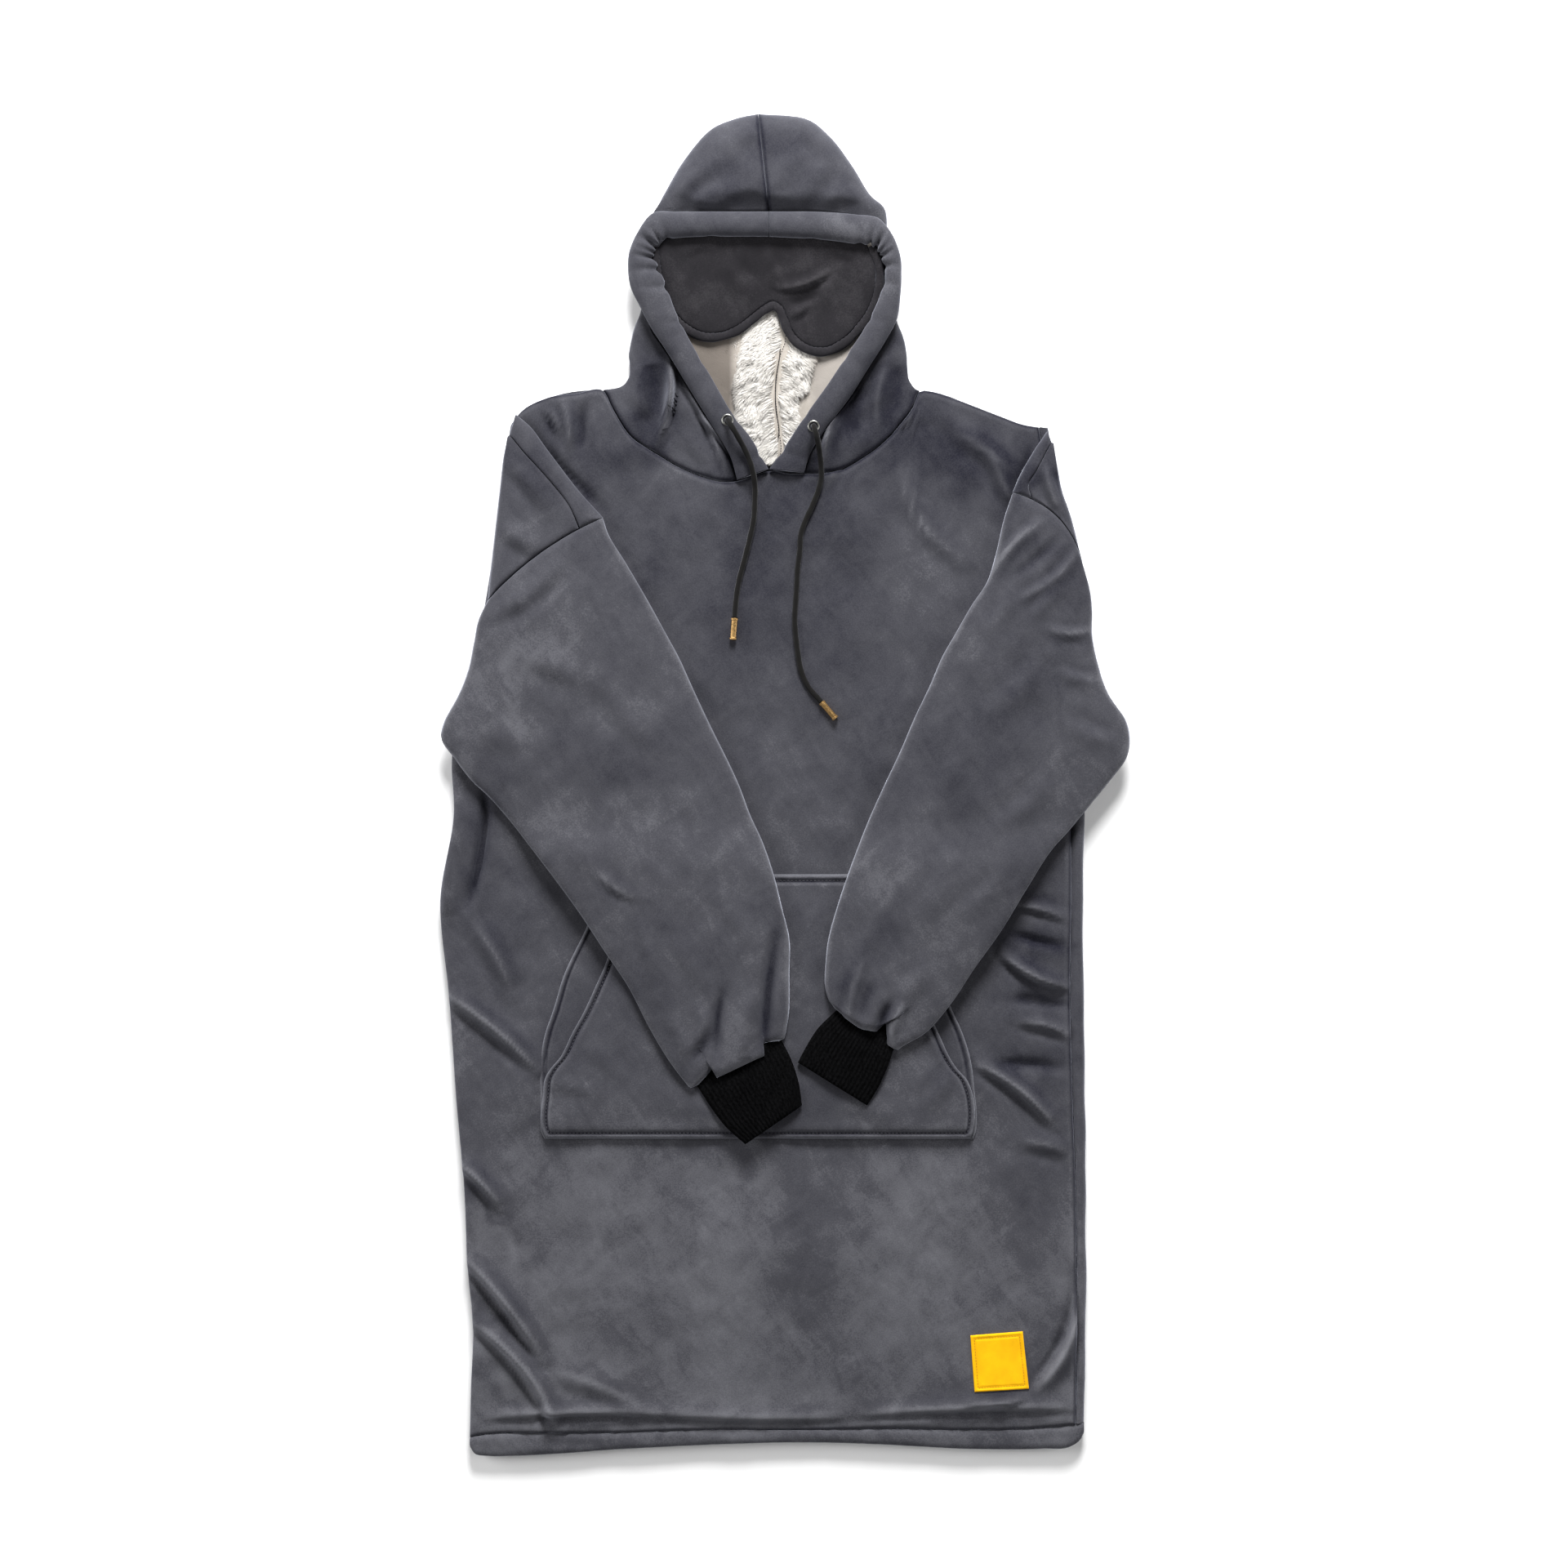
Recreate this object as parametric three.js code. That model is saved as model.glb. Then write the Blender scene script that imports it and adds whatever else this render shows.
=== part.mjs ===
// A long hooded pullover of thick plush cloth with a fleece inside, laid out on its back.
// The sleeves are folded in over the front, and the hood lies open with its mask panel inside.
// Millimetres. X runs to the viewer's right, Y towards the hood, Z up from the surface it lies on.
import * as THREE from "three";
import { mergeVertices } from "three/addons/utils/BufferGeometryUtils.js";

// Cloth thickness, and the gaps that part one piece from the next
const WALL = 7;
const SLEEVE_WALL = 6;
const CUFF_WALL = 3.2;
const MASK_WALL = 3;
const LAYER_GAP = 0.3;
const SEAM_GAP = 0.4;

// Levels of the layers, from the surface up
const FRONT_UNDER = WALL + LAYER_GAP;
const FRONT_TOP = FRONT_UNDER + WALL;
const ON_FRONT = FRONT_TOP + LAYER_GAP;
const POCKET_BACKING_THICK = 2;
const POCKET_THICK = 4.5;
const POCKET_UNDER = ON_FRONT + POCKET_BACKING_THICK + LAYER_GAP;
const ON_POCKET = POCKET_UNDER + POCKET_THICK + LAYER_GAP;
const SLEEVE_UNDER = ON_FRONT + 0.1;
const SLEEVE_ON_POCKET = ON_POCKET + 0.1;
const LINING_UNDER = WALL + LAYER_GAP;

// The edge of a cloth slab, rounded over: how far in each line of points lies, and how far it drops
const SOFT_EDGE = table("inset drop", [0, 3.4], [1.5, 1.1], [6, 0]);
const SEAM_DIP = 1.2;

// Body: a row for each height, with its left and right edges and the side seam that shows in front
const HEM_LEVEL = -619;
const SHOULDER_LEVEL = 344;
const BODY = table("y left right seam",
  [-619, -302, 286, 278], [-576, -301, 287, 279], [-513, -299, 288, 279], [-459, -304, 288, 279],
  [-386, -307, 288, 278], [-295, -315, 287, 275], [-196, -322, 286, 273], [-108, -330, 285, 274],
  [-25, -317, 287, 274], [31, -319, 287, 275], [103, -302, 289, 277], [173, -288, 285, 274],
  [243, -277, 271, 261], [313, -268, 258, 249], [344, -263, 252, 243]);

// Front panel: its top edge runs over the left shoulder, down round the neck and over the right shoulder
const FRONT_EDGE = table("x y",
  [-266, 341], [-250, 360], [-227, 371], [-200, 375], [-175, 378], [-165, 360], [-147, 333],
  [-126, 319], [-103, 305], [-79, 295], [-57, 290], [-46, 291], [-32, 295], [-14, 301], [3, 298],
  [18, 298], [34, 298], [54, 302], [74, 313], [94, 328], [110, 345], [122, 361], [129, 377],
  [143, 376], [164, 369], [185, 361], [206, 353], [228, 345], [247, 342]);
const FRONT_LEVELS = [-619, -612, -600, -588, -576, -560, -545, -529, -513, -495, -477, -459, -434, -410,
  -386, -340, -295, -245, -196, -166, -136, -108, -70, -25, 31, 103, 173, 243, 290, 313, 332, 344];

// Back panel: the same shoulders, and a shallower neck under the hood
const BACK_EDGE = table("x y",
  [-266, 341], [-250, 360], [-227, 371], [-175, 378], [-120, 360], [-60, 352], [-15, 350], [40, 352],
  [90, 360], [129, 377], [143, 376], [185, 361], [228, 345], [247, 342]);
const BACK_LEVELS = BODY.map((row) => row.y);
const CURL_STEPS = 6;
const CURL_CORE = 0.35;

// Large folds of the front, each a soft ridge along a line
const FRONT_FOLDS = table("x0 y0 x1 y1 width height",
  [-309, -364, -277, -399, 13, 4], [-305, -454, -240, -540, 16, 5], [-297, -518, -226, -606, 16, 5],
  [-321, -203, -262, -250, 15, 3.5], [-318, -55, -320, -135, 12, 3.5], [236, -132, 268, -150, 11, 3],
  [222, -168, 266, -190, 12, 4], [226, -294, 256, -323, 13, 4], [268, -575, 272, -512, 15, 4],
  [-285, -604, 275, -597, 12, 3.2], [-110, -470, 110, -452, 58, 3], [46, 281, 92, 292, 8, 2.4]);
const FAINTEST_FOLD = 0.15;
const FOLD_BENEATH = 0.3;

// Hem band: its seam with the panels and its lower edge
const HEM = table("x seam bottom",
  [-302, -625, -633], [-297, -623, -640], [-285, -621, -642], [-263, -620, -642], [-220, -620, -640],
  [-165, -620, -636], [-88, -617, -632], [14, -617, -629], [92, -616, -631], [169, -617, -635],
  [246, -615, -635], [273, -612, -633], [281, -611, -628], [286, -610, -620]);
const HEM_ACROSS = [0, 0.25, 0.6, 0.88, 1];
const HEM_DROP = [1.2, 0, 0, 1.2, 3.2];
const HEM_SINK = 0.6;

// Sleeves: a row for each section, from the armhole to the cuff; a is the outer edge, b the chest side
const SLEEVE_LEFT = table("ax ay bx by bow crown",
  [-284, 176, -174, 255, -7, 1], [-292, 160, -169, 240, -3, 3], [-297, 137, -152, 212, 0, 5],
  [-303, 109, -131, 176, 0, 5], [-313, 84, -114, 145, 0, 5], [-326, 60, -101, 121, 0, 4],
  [-328, 44, -87, 90, 0, 3], [-316, 26, -70, 54, 0, 4], [-300, 5, -56, 26, 0, 4],
  [-282, -12, -44, 0, 0, 3], [-262, -35, -34, -27, 0, 3], [-243, -59, -22, -53, 0, 4],
  [-220, -89, -11, -85, 0, 3], [-196, -122, -3, -117, 0, 3], [-173, -157, 4, -147, 0, 4],
  [-149, -193, 4, -177, 0, 3], [-129, -232, 4, -205, 0, 4], [-109, -265, 3, -225, 0, 4],
  [-96, -282, 1, -239, 0, 3], [-92, -287, 0, -243, 0, 0]);
const SLEEVE_RIGHT = table("ax ay bx by bow crown",
  [284, 210, 217, 279, 14, 1], [290, 190, 209, 255, 5, 3], [293, 167, 201, 221, 0, 4],
  [293, 143, 193, 195, 0, 5], [299, 114, 178, 172, 0, 5], [309, 86, 162, 144, 0, 4],
  [325, 62, 149, 121, 0, 4], [329, 45, 138, 95, 0, 3], [326, 27, 125, 68, 0, 4],
  [312, 7, 110, 33, 0, 4], [295, -14, 94, -1, 0, 4], [272, -42, 78, -37, 0, 3],
  [253, -63, 64, -73, 0, 3], [230, -99, 50, -114, 0, 4], [205, -140, 41, -147, 0, 3],
  [180, -175, 38, -174, 0, 3], [155, -212, 38, -194, 0, 4], [133, -236, 41, -206, 0, 4],
  [112, -248, 44, -211, 0, 3], [108, -251, 46, -214, 0, 0]);
const SLEEVE_HIGH = 13.4;
const SLEEVE_RAMP = { from: -30, to: -80 };
const SLEEVE_FOLDS = table("x0 y0 x1 y1 width height",
  [238, 246, 200, 205, 12, 3], [276, 222, 228, 182, 10, 2.5], [-284, 165, -215, 215, 14, 2.5],
  [-250, 120, -190, 95, 16, 2.5], [292, 150, 262, 148, 9, 2], [-176, -80, -142, -106, 12, 2],
  [-137, -130, -130, -180, 12, 2], [-88, -250, -62, -236, 9, 3], [-40, -255, -30, -215, 12, 3],
  [-8, -230, -4, -190, 8, 3], [60, -205, 75, -170, 12, 3], [100, -235, 110, -205, 9, 3]);
const ACROSS_OVER = [-1, -0.97, -0.88, -0.7, -0.4, 0, 0.4, 0.7, 0.88, 0.97, 1];
const ACROSS_UNDER = [0.9, 0.5, 0, -0.5, -0.9];
const FLAT_POWER = 4;

// Rib cuffs: rows below the sleeve's end; the first row lies on the end of the sleeve
const CUFF_LEFT = table("ax ay bx by", [-70, -308, 6, -262], [-56, -326, 13, -284], [-38, -342, 16, -305]);
const CUFF_RIGHT = table("ax ay bx by", [96, -272, 30, -233], [88, -289, 20, -249], [78, -305, 12, -264]);
const CUFF_HIGH = 10.5;
const CUFF_ON_SLEEVE = { from: 0.06, to: 0.97 };
const CUFF_RIBS = 14;
const RIB_RAISED = 0.9;

// Shoulders folded forward onto the front: the back's stretch beside the armhole, and the front's strip
const SHOULDER_LEFT = table("sideX sideY seamX seamY foldX foldY",
  [-265, 332, -263, 334, -257, 354], [-269, 313, -250, 318, -243, 342], [-273, 278, -235, 302, -229, 323],
  [-277, 243, -220, 285, -214, 303], [-281, 208, -206, 267, -197, 281]);
const SHOULDER_RIGHT = table("sideX sideY seamX seamY foldX foldY",
  [256, 326, 254, 327, 250, 338], [260, 304, 246, 312, 241, 325], [265, 280, 239, 299, 233, 312],
  [273, 256, 232, 288, 225, 298]);
const SHOULDER_HIGH = 12.6;
const SHOULDER_SEAM = { share: 0.82, gap: 0.008 };
const SHOULDER_ROUND = { side: 0.15, fold: 0.5, drop: 7 };

// Hood: a row for each section, from the neck seam up the cheek and round to the middle of the crown.
// out and in are the edges of the cord casing, side is the outline, back the place on the back seam,
// tuck is how far the cloth runs under the casing and high how far it stands off the surface.
const HOOD_MIDDLE = -15.5;
const HOOD_LEFT = table("outX outY inX inY casing half tuck sideX sideY backY high",
  [-46, 292, -15.9, 302, 15.8, 5.2, -0.6, -175, 378, 351, 14.6],
  [-53, 315, -31, 329, 18.2, 6, -0.6, -159, 381, 368, 17],
  [-68, 340, -48, 351, 20.5, 6.5, -0.6, -151, 388, 385, 18],
  [-92, 379, -71, 390, 22, 7, -0.6, -149, 403, 407, 18],
  [-116, 418, -93, 428, 24, 7.4, -0.6, -149, 418, 426, 17],
  [-128, 436, -99, 440, 24.7, 7.6, -0.6, -145, 436, 442, 16],
  [-138, 455, -106, 455, 25, 7.8, 9, -138, 456, 459, 16],
  [-148, 477, -114, 478, 25, 7.8, 14, -143, 477, 477, 16],
  [-150, 493, -120, 493, 25, 7.8, 14, -145, 493, 493, 16],
  [-149, 508, -124, 503, 25, 7.8, 14, -144, 508, 507, 16],
  [-142, 525, -122, 512, 26, 7.8, 14, -137, 523, 524, 16],
  [-126, 545, -114, 519, 28.5, 8, -0.8, -122, 553, 541, 16],
  [-104, 546, -100, 521, 30.5, 8, -0.8, -114, 569, 557, 25],
  [-79, 546, -78, 522, 31, 8, -0.8, -96, 599, 577, 32],
  [-54, 546, -54, 522, 31, 8, -0.8, -70, 628, 594, 35],
  [-35, 546, -35, 522, 31, 8, -0.8, -46, 638, 606, 36],
  [-15.8, 546, -15.8, 522, 31, 8, -0.8, -26.3, 642, 616, 37]);
const HOOD_RIGHT = table("outX outY inX inY casing half tuck sideX sideY backY high",
  [18, 298.7, -15.1, 302, 15.8, 5.2, -0.6, 129, 377, 351, 14.6],
  [25, 319, 4, 330, 18.2, 6, -0.6, 124, 380, 368, 17],
  [38, 339, 18, 351, 20.5, 6.5, -0.6, 119, 387, 385, 18],
  [61, 369, 41, 383, 22, 7, -0.6, 117, 400, 407, 18],
  [82, 402, 62, 415, 24, 7.4, -0.6, 116, 415, 424, 17],
  [96, 424, 74, 433, 24.7, 7.6, -0.6, 113, 429, 440, 16],
  [106, 443, 82, 448, 25, 7.8, 9, 106, 447, 457, 16],
  [110, 468, 91, 469, 25, 7.8, 13, 105, 468, 477, 16],
  [111, 485, 95, 486, 25, 7.8, 13, 106, 485, 493, 16],
  [110, 504, 92, 500, 25, 7.8, 13, 105, 503, 507, 16],
  [102, 525, 88, 508, 26, 7.8, 13, 98, 523, 524, 16],
  [89, 540, 82, 513, 28.5, 8, -0.8, 96, 550, 541, 16],
  [69, 543, 67, 515, 30.5, 8, -0.8, 81, 565, 557, 25],
  [46, 545, 46, 518, 31, 8, -0.8, 65, 591, 577, 32],
  [22, 546, 22, 520, 31, 8, -0.8, 42, 621, 594, 35],
  [3, 546, 3, 521, 31, 8, -0.8, 18, 638, 606, 36],
  [-15.2, 546, -15.2, 522, 31, 8, -0.8, -25.7, 642, 616, 37]);
const HOOD_STEPS = 7;
const OVER_POWER = 3;
const UNDER_POWER = 6;
const CURL_LEVEL = 9;
const CASING_SIDES = 10;

// Fleece lining that shows in the hood's opening, in two halves with a seam between them
const LINING = table("y left seam right top",
  [535, -121, -12, 84, 12], [508, -128, -12, 93, 12], [477, -128, -12, 92, 12], [450, -119, -11, 84, 12],
  [418, -104, -5, 68, 12], [387, -84, -9, 48, 12], [360, -66, -9, 28, 12], [336, -50, -6, 14, 11.4],
  [322, -36, -10, 5, 10.8], [312, -24, -13, -4, 10]);
const LINING_ACROSS = [0, 0.06, 0.3, 0.65, 0.94, 1];
const LINING_DROP = [2.6, 0.8, 0, 0, 0.5, 1.6];

// Mask panel that hangs in the opening: columns from left to right with their upper and lower ends
const MASK = table("x top bottom",
  [-110, 513, 491], [-103, 520, 474], [-93, 524, 456], [-79, 525, 438], [-64, 525, 433], [-48, 525, 438],
  [-28, 525, 451], [-13, 525, 464], [-4, 525, 468], [8, 525, 450], [18, 525, 433], [30, 523, 420],
  [46, 520, 430], [65, 517, 457], [80, 511, 481]);
const MASK_DOWN = [0, 0.25, 0.5, 0.75, 1];
const MASK_LEVEL = { low: 16.2, high: 24.5, from: 436, to: 522 };
const BINDING = { halfWidth: 3.4, halfHeight: 2.3, offset: 4, sides: 8, below: 4 };

// Pouch pocket: the backing that shows beside the hand openings, and the front with its slanting sides
const POCKET_BACKING = table("y left right",
  [-85, -169, 112], [-136, -190, 130], [-183, -212, 146], [-216, -222, 160], [-236, -229, 169],
  [-262, -234, 177], [-293, -234, 181], [-315, -234, 183], [-332, -233, 182], [-338, -230, 180]);
const POCKET_FRONT = table("y left right",
  [-86, -164, 104], [-166, -170, 112], [-192, -181, 124], [-216, -192, 136], [-236, -203, 146],
  [-260, -215, 157], [-272, -225, 165], [-282, -230, 174], [-292, -231, 178], [-331, -231, 179],
  [-337, -228, 177]);
const POCKET_ACROSS = [0, 0.015, 0.3, 0.5, 0.7, 0.985, 1];
const POCKET_DROP = [1.3, 0, 0, 0, 0, 0, 1.3];

// Bare label patch on the right of the hem
const LABEL = { left: { x: 177, y: -526 }, right: { x: 227, y: -522 }, thick: 1.6, clear: 0.5, above: 100 };
const LABEL_FOOT = { left: { x: 181, y: -580 }, right: { x: 233, y: -577 } };
const LABEL_STEPS = 5;

// Drawcords: their routes from the eyelets, with the points of the metal tips at the end
const CORD_RADIUS = 2.75;
const CORD_SIDES = 8;
const CORD_LEFT = table("x y z",
  [-55, 348, 28.4], [-54.7, 347.3, 31.2], [-52.9, 344, 34.5], [-49.3, 338.4, 35.8], [-44.8, 331, 33.6],
  [-39.9, 322.4, 29.9], [-35.4, 313, 27.2], [-31.8, 302.5, 25.2], [-29.6, 292.6, 22.2],
  [-28.8, 283, 18.9], [-29, 272, 17.6], [-30, 255, 17.5], [-34, 235, 17.5], [-39, 215, 17.5],
  [-44, 196, 17.5], [-47, 177, 17.5], [-48.3, 160, 17.7]);
const CORD_RIGHT = table("x y z",
  [27, 342, 28.2], [27.2, 341.3, 31], [28.2, 338, 34.2], [29.8, 332.4, 35.2], [31.5, 325, 32.2],
  [33, 316, 26.8], [34.2, 305.6, 21.8], [34.4, 294, 18.8], [31, 280, 17.6], [25, 265, 17.5],
  [19, 252, 17.5], [15, 240, 17.5], [14, 225, 17.5], [12, 209, 17.5], [11, 191, 17.5],
  [10, 175, 17.5], [9, 160, 17.5], [10, 144, 17.5], [12, 127, 17.5], [15, 110, 17.5],
  [22, 94, 17.6], [34.4, 79.6, 17.8]);
const CORD_STEP = 9;
const TIP = { radius: 3.3, length: 21, lip: 0.5, rim: 2, neck: 2.6, dome: 1.2, clear: 0.35, sides: 12 };
const EYELET = { ring: 4.6, wire: 0.7, sides: 14, wireSides: 6 };
const EYELETS = table("x y z", [-55, 348, 27.8], [27, 342, 27.6]);

// Colours
const CLOTH = { color: 0x5c5d63, roughness: 0.9, metalness: 0 };
const FLEECE = { color: 0xe6dfd4, roughness: 1, metalness: 0 };
const MASK_CLOTH = { color: 0x3e3d42, roughness: 0.9, metalness: 0 };
const RIB = { color: 0x0a0a0a, roughness: 0.9, metalness: 0 };
const CORD = { color: 0x191816, roughness: 0.8, metalness: 0 };
const GOLD = { color: 0xb9915a, roughness: 0.3, metalness: 1 };
const NICKEL = { color: 0x969691, roughness: 0.3, metalness: 1 };
const YELLOW = { color: 0xf8c80c, roughness: 0.8, metalness: 0 };

const hoodie = new THREE.Group();

// Rows of numbers with named columns
function table(columns, ...rows) {
  const names = columns.split(" ");
  return rows.map((row) => Object.fromEntries(names.map((name, i) => [name, row[i]])));
}

// The value of a column where another column has the value given, along straight lines between rows
function valueAt(rows, key, column, at) {
  const last = rows.length - 1;
  if (at <= rows[0][key]) return rows[0][column];
  if (at >= rows[last][key]) return rows[last][column];
  const next = rows.findIndex((row) => row[key] >= at);
  const share = (at - rows[next - 1][key]) / (rows[next][key] - rows[next - 1][key]);
  return THREE.MathUtils.lerp(rows[next - 1][column], rows[next][column], share);
}

// A point at a share of the length of a chain of points
function along(points, share) {
  const lengths = points.slice(1).map((p, i) => Math.hypot(p.x - points[i].x, p.y - points[i].y));
  let rest = share * lengths.reduce((sum, length) => sum + length, 0);
  let i = 0;
  while (i < lengths.length - 1 && rest > lengths[i]) {
    rest -= lengths[i];
    i += 1;
  }
  return between(points[i], points[i + 1], Math.min(1, rest / lengths[i]));
}

function between(p, q, share) {
  return { x: THREE.MathUtils.lerp(p.x, q.x, share), y: THREE.MathUtils.lerp(p.y, q.y, share) };
}

// The height that a table of ridges adds at a point
function foldsAt(folds, x, y) {
  let most = 0;
  for (const fold of folds) {
    const dx = fold.x1 - fold.x0;
    const dy = fold.y1 - fold.y0;
    const share = ((x - fold.x0) * dx + (y - fold.y0) * dy) / (dx * dx + dy * dy);
    const held = THREE.MathUtils.clamp(share, 0, 1);
    const away = Math.hypot(x - fold.x0 - held * dx, y - fold.y0 - held * dy) / fold.width;
    most = Math.max(most, fold.height * Math.exp(-away * away) - FAINTEST_FOLD);
  }
  return most;
}

// A closed surface from points and faces, turned so that its faces point out
function closedSurface(points, faces) {
  let volume = 0;
  for (let i = 0; i < faces.length; i += 3) {
    const [a, b, c] = [points[faces[i]], points[faces[i + 1]], points[faces[i + 2]]];
    volume += a.dot(new THREE.Vector3().crossVectors(b, c));
  }
  if (volume < 0) faces.reverse();
  const geometry = new THREE.BufferGeometry().setFromPoints(points).setIndex(faces);
  geometry.computeVertexNormals();
  return geometry;
}

// A wall of cloth between an outer and an inner grid of points; a tube closes on itself across its rows
function wall(outer, inner, isTube = false) {
  const columns = outer[0].length;
  const last = outer.length - 1;
  const spans = isTube ? columns : columns - 1;
  const faces = [];
  const at = (side, r, c) => (side * outer.length + r) * columns + (c % columns);
  const quad = (a, b, c, d) => faces.push(a, b, c, a, c, d);
  for (let c = 0; c < spans; c += 1) {
    for (let r = 0; r < last; r += 1) {
      quad(at(0, r, c), at(0, r, c + 1), at(0, r + 1, c + 1), at(0, r + 1, c));
      quad(at(1, r, c), at(1, r + 1, c), at(1, r + 1, c + 1), at(1, r, c + 1));
    }
    quad(at(0, 0, c + 1), at(0, 0, c), at(1, 0, c), at(1, 0, c + 1));
    quad(at(0, last, c), at(0, last, c + 1), at(1, last, c + 1), at(1, last, c));
  }
  for (let r = 0; !isTube && r < last; r += 1) {
    quad(at(0, r, 0), at(0, r + 1, 0), at(1, r + 1, 0), at(1, r, 0));
    quad(at(0, r + 1, spans), at(0, r, spans), at(1, r, spans), at(1, r + 1, spans));
  }
  return closedSurface([...outer.flat(), ...inner.flat()], faces);
}

// A flat piece of cloth from a grid of places, each with the levels of its two faces
function slab(grid) {
  const face = (level) => grid.map((row) => row.map((p) => new THREE.Vector3(p.x, p.y, p[level])));
  return wall(face("top"), face("under"));
}

// A solid band through rings of points, closed at its two ends
function band(rings) {
  const sides = rings[0].length;
  const last = rings.length - 1;
  const points = rings.flat();
  const faces = [];
  for (let s = 0; s < sides; s += 1) {
    const next = (s + 1) % sides;
    for (let r = 0; r < last; r += 1) {
      const [a, b, c, d] = [r * sides + s, r * sides + next, (r + 1) * sides + next, (r + 1) * sides + s];
      faces.push(a, b, c, a, c, d);
    }
    faces.push(points.length, next, s, points.length + 1, last * sides + s, last * sides + next);
  }
  const middle = (ring) => ring.reduce((sum, p) => sum.add(p), new THREE.Vector3()).divideScalar(sides);
  return closedSurface([...points, middle(rings[0]), middle(rings[last])], faces);
}

function add(name, geometry, look) {
  const mesh = new THREE.Mesh(geometry, new THREE.MeshStandardMaterial(look));
  mesh.name = name;
  hoodie.add(mesh);
  return mesh;
}

// How far the rounded edge of a slab drops at a distance from that edge
function edgeDrop(away) {
  return valueAt(SOFT_EDGE, "inset", "drop", away);
}

// Body panels share the map from a share of the width and a level to a place on the cloth
function bodyPlace(edge, level, x) {
  const share = (level - HEM_LEVEL) / (SHOULDER_LEVEL - HEM_LEVEL);
  const seam = valueAt(HEM, "x", "seam", x) + SEAM_GAP;
  return { x, y: seam + share * (valueAt(edge, "x", "y", x) - seam) };
}

function frontPanel() {
  const end = FRONT_EDGE[FRONT_EDGE.length - 1].x;
  const shares = FRONT_EDGE.map((row) => (row.x - FRONT_EDGE[0].x) / (end - FRONT_EDGE[0].x));
  return slab(FRONT_LEVELS.map((level) => {
    const left = valueAt(BODY, "y", "left", level);
    const seam = valueAt(BODY, "y", "seam", level) - SEAM_GAP;
    const fromLeft = SOFT_EDGE.map((row) => left + row.inset);
    const columns = [...fromLeft, ...shares.slice(1).map((share) => left + share * (seam - left))];
    return columns.map((x) => {
      const place = bodyPlace(FRONT_EDGE, level, x);
      const fold = foldsAt(FRONT_FOLDS, place.x, place.y);
      const isSeam = x === columns[columns.length - 1] || level === HEM_LEVEL || level === SHOULDER_LEVEL;
      const drop = Math.max(edgeDrop(x - left), isSeam ? SEAM_DIP : 0);
      return { ...place, top: FRONT_TOP + fold - drop, under: FRONT_UNDER + FOLD_BENEATH * fold };
    });
  }));
}

// The back's right edge curls up round the side and ends at the seam that shows in front
function backPanel() {
  const radius = (FRONT_TOP - LAYER_GAP) / 2;
  const end = BACK_EDGE[BACK_EDGE.length - 1].x;
  const shares = BACK_EDGE.map((row) => (row.x - BACK_EDGE[0].x) / (end - BACK_EDGE[0].x));
  const outer = [];
  const inner = [];
  for (const level of BACK_LEVELS) {
    const left = valueAt(BODY, "y", "left", level);
    const right = valueAt(BODY, "y", "right", level);
    const seam = valueAt(BODY, "y", "seam", level) + SEAM_GAP;
    const turn = right - radius;
    const columns = SOFT_EDGE.map((row) => ({ x: left + row.inset, up: row.drop }));
    columns.push(...shares.slice(1, -1).map((share) => ({ x: left + share * (turn - left), up: 0 })));
    const flat = columns.map(({ x, up }) => {
      const { y } = bodyPlace(BACK_EDGE, level, x);
      return [new THREE.Vector3(x, y, up), new THREE.Vector3(x, y, WALL)];
    });
    for (let i = 0; i <= CURL_STEPS; i += 1) {
      const angle = Math.PI * (i / CURL_STEPS - 0.5);
      const at = (r) => {
        const x = turn + r * Math.cos(angle);
        return new THREE.Vector3(x, bodyPlace(BACK_EDGE, level, x).y, radius + r * Math.sin(angle));
      };
      flat.push([at(radius), at(CURL_CORE)]);
    }
    const x = Math.min(seam, turn - SEAM_GAP);
    const { y } = bodyPlace(BACK_EDGE, level, seam);
    flat.push([2 * radius - SEAM_DIP, radius + CURL_CORE].map((z) => new THREE.Vector3(x, y, z)));
    outer.push(flat.map((pair) => pair[0]));
    inner.push(flat.map((pair) => pair[1]));
  }
  return wall(outer, inner);
}

function hemBand(under, top, turnsDown) {
  return slab(HEM.map((row, i) => HEM_ACROSS.map((share, k) => {
    const isEnd = i === 0 || i === HEM.length - 1;
    const drop = Math.max(HEM_DROP[k], isEnd ? HEM_DROP[HEM_DROP.length - 1] : 0);
    const y = THREE.MathUtils.lerp(row.seam - SEAM_GAP, row.bottom, share);
    return { x: row.x, y, top: top - (turnsDown ? 0 : drop), under: under + (turnsDown ? drop : 0) };
  })));
}

// Place on a section of a sleeve: u runs from -1 at its a edge to 1 at its b edge
function sectionPlace(section, u, inset = 0) {
  const a = new THREE.Vector2(section.ax, section.ay);
  const b = new THREE.Vector2(section.bx, section.by);
  const half = a.distanceTo(b) / 2;
  const run = b.clone().sub(a).normalize();
  const bow = (section.bow ?? 0) * (1 - u * u);
  const reach = u * (half - inset);
  return {
    x: (a.x + b.x) / 2 + run.x * reach + run.y * bow,
    y: (a.y + b.y) / 2 + run.y * reach - run.x * bow,
  };
}

function roundness(u, power) {
  return (1 - Math.abs(u) ** power) ** (1 / power);
}

function sleeveUnder(y) {
  const rise = THREE.MathUtils.smoothstep(-y, -SLEEVE_RAMP.from, -SLEEVE_RAMP.to);
  return THREE.MathUtils.lerp(SLEEVE_UNDER, SLEEVE_ON_POCKET, rise);
}

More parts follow.
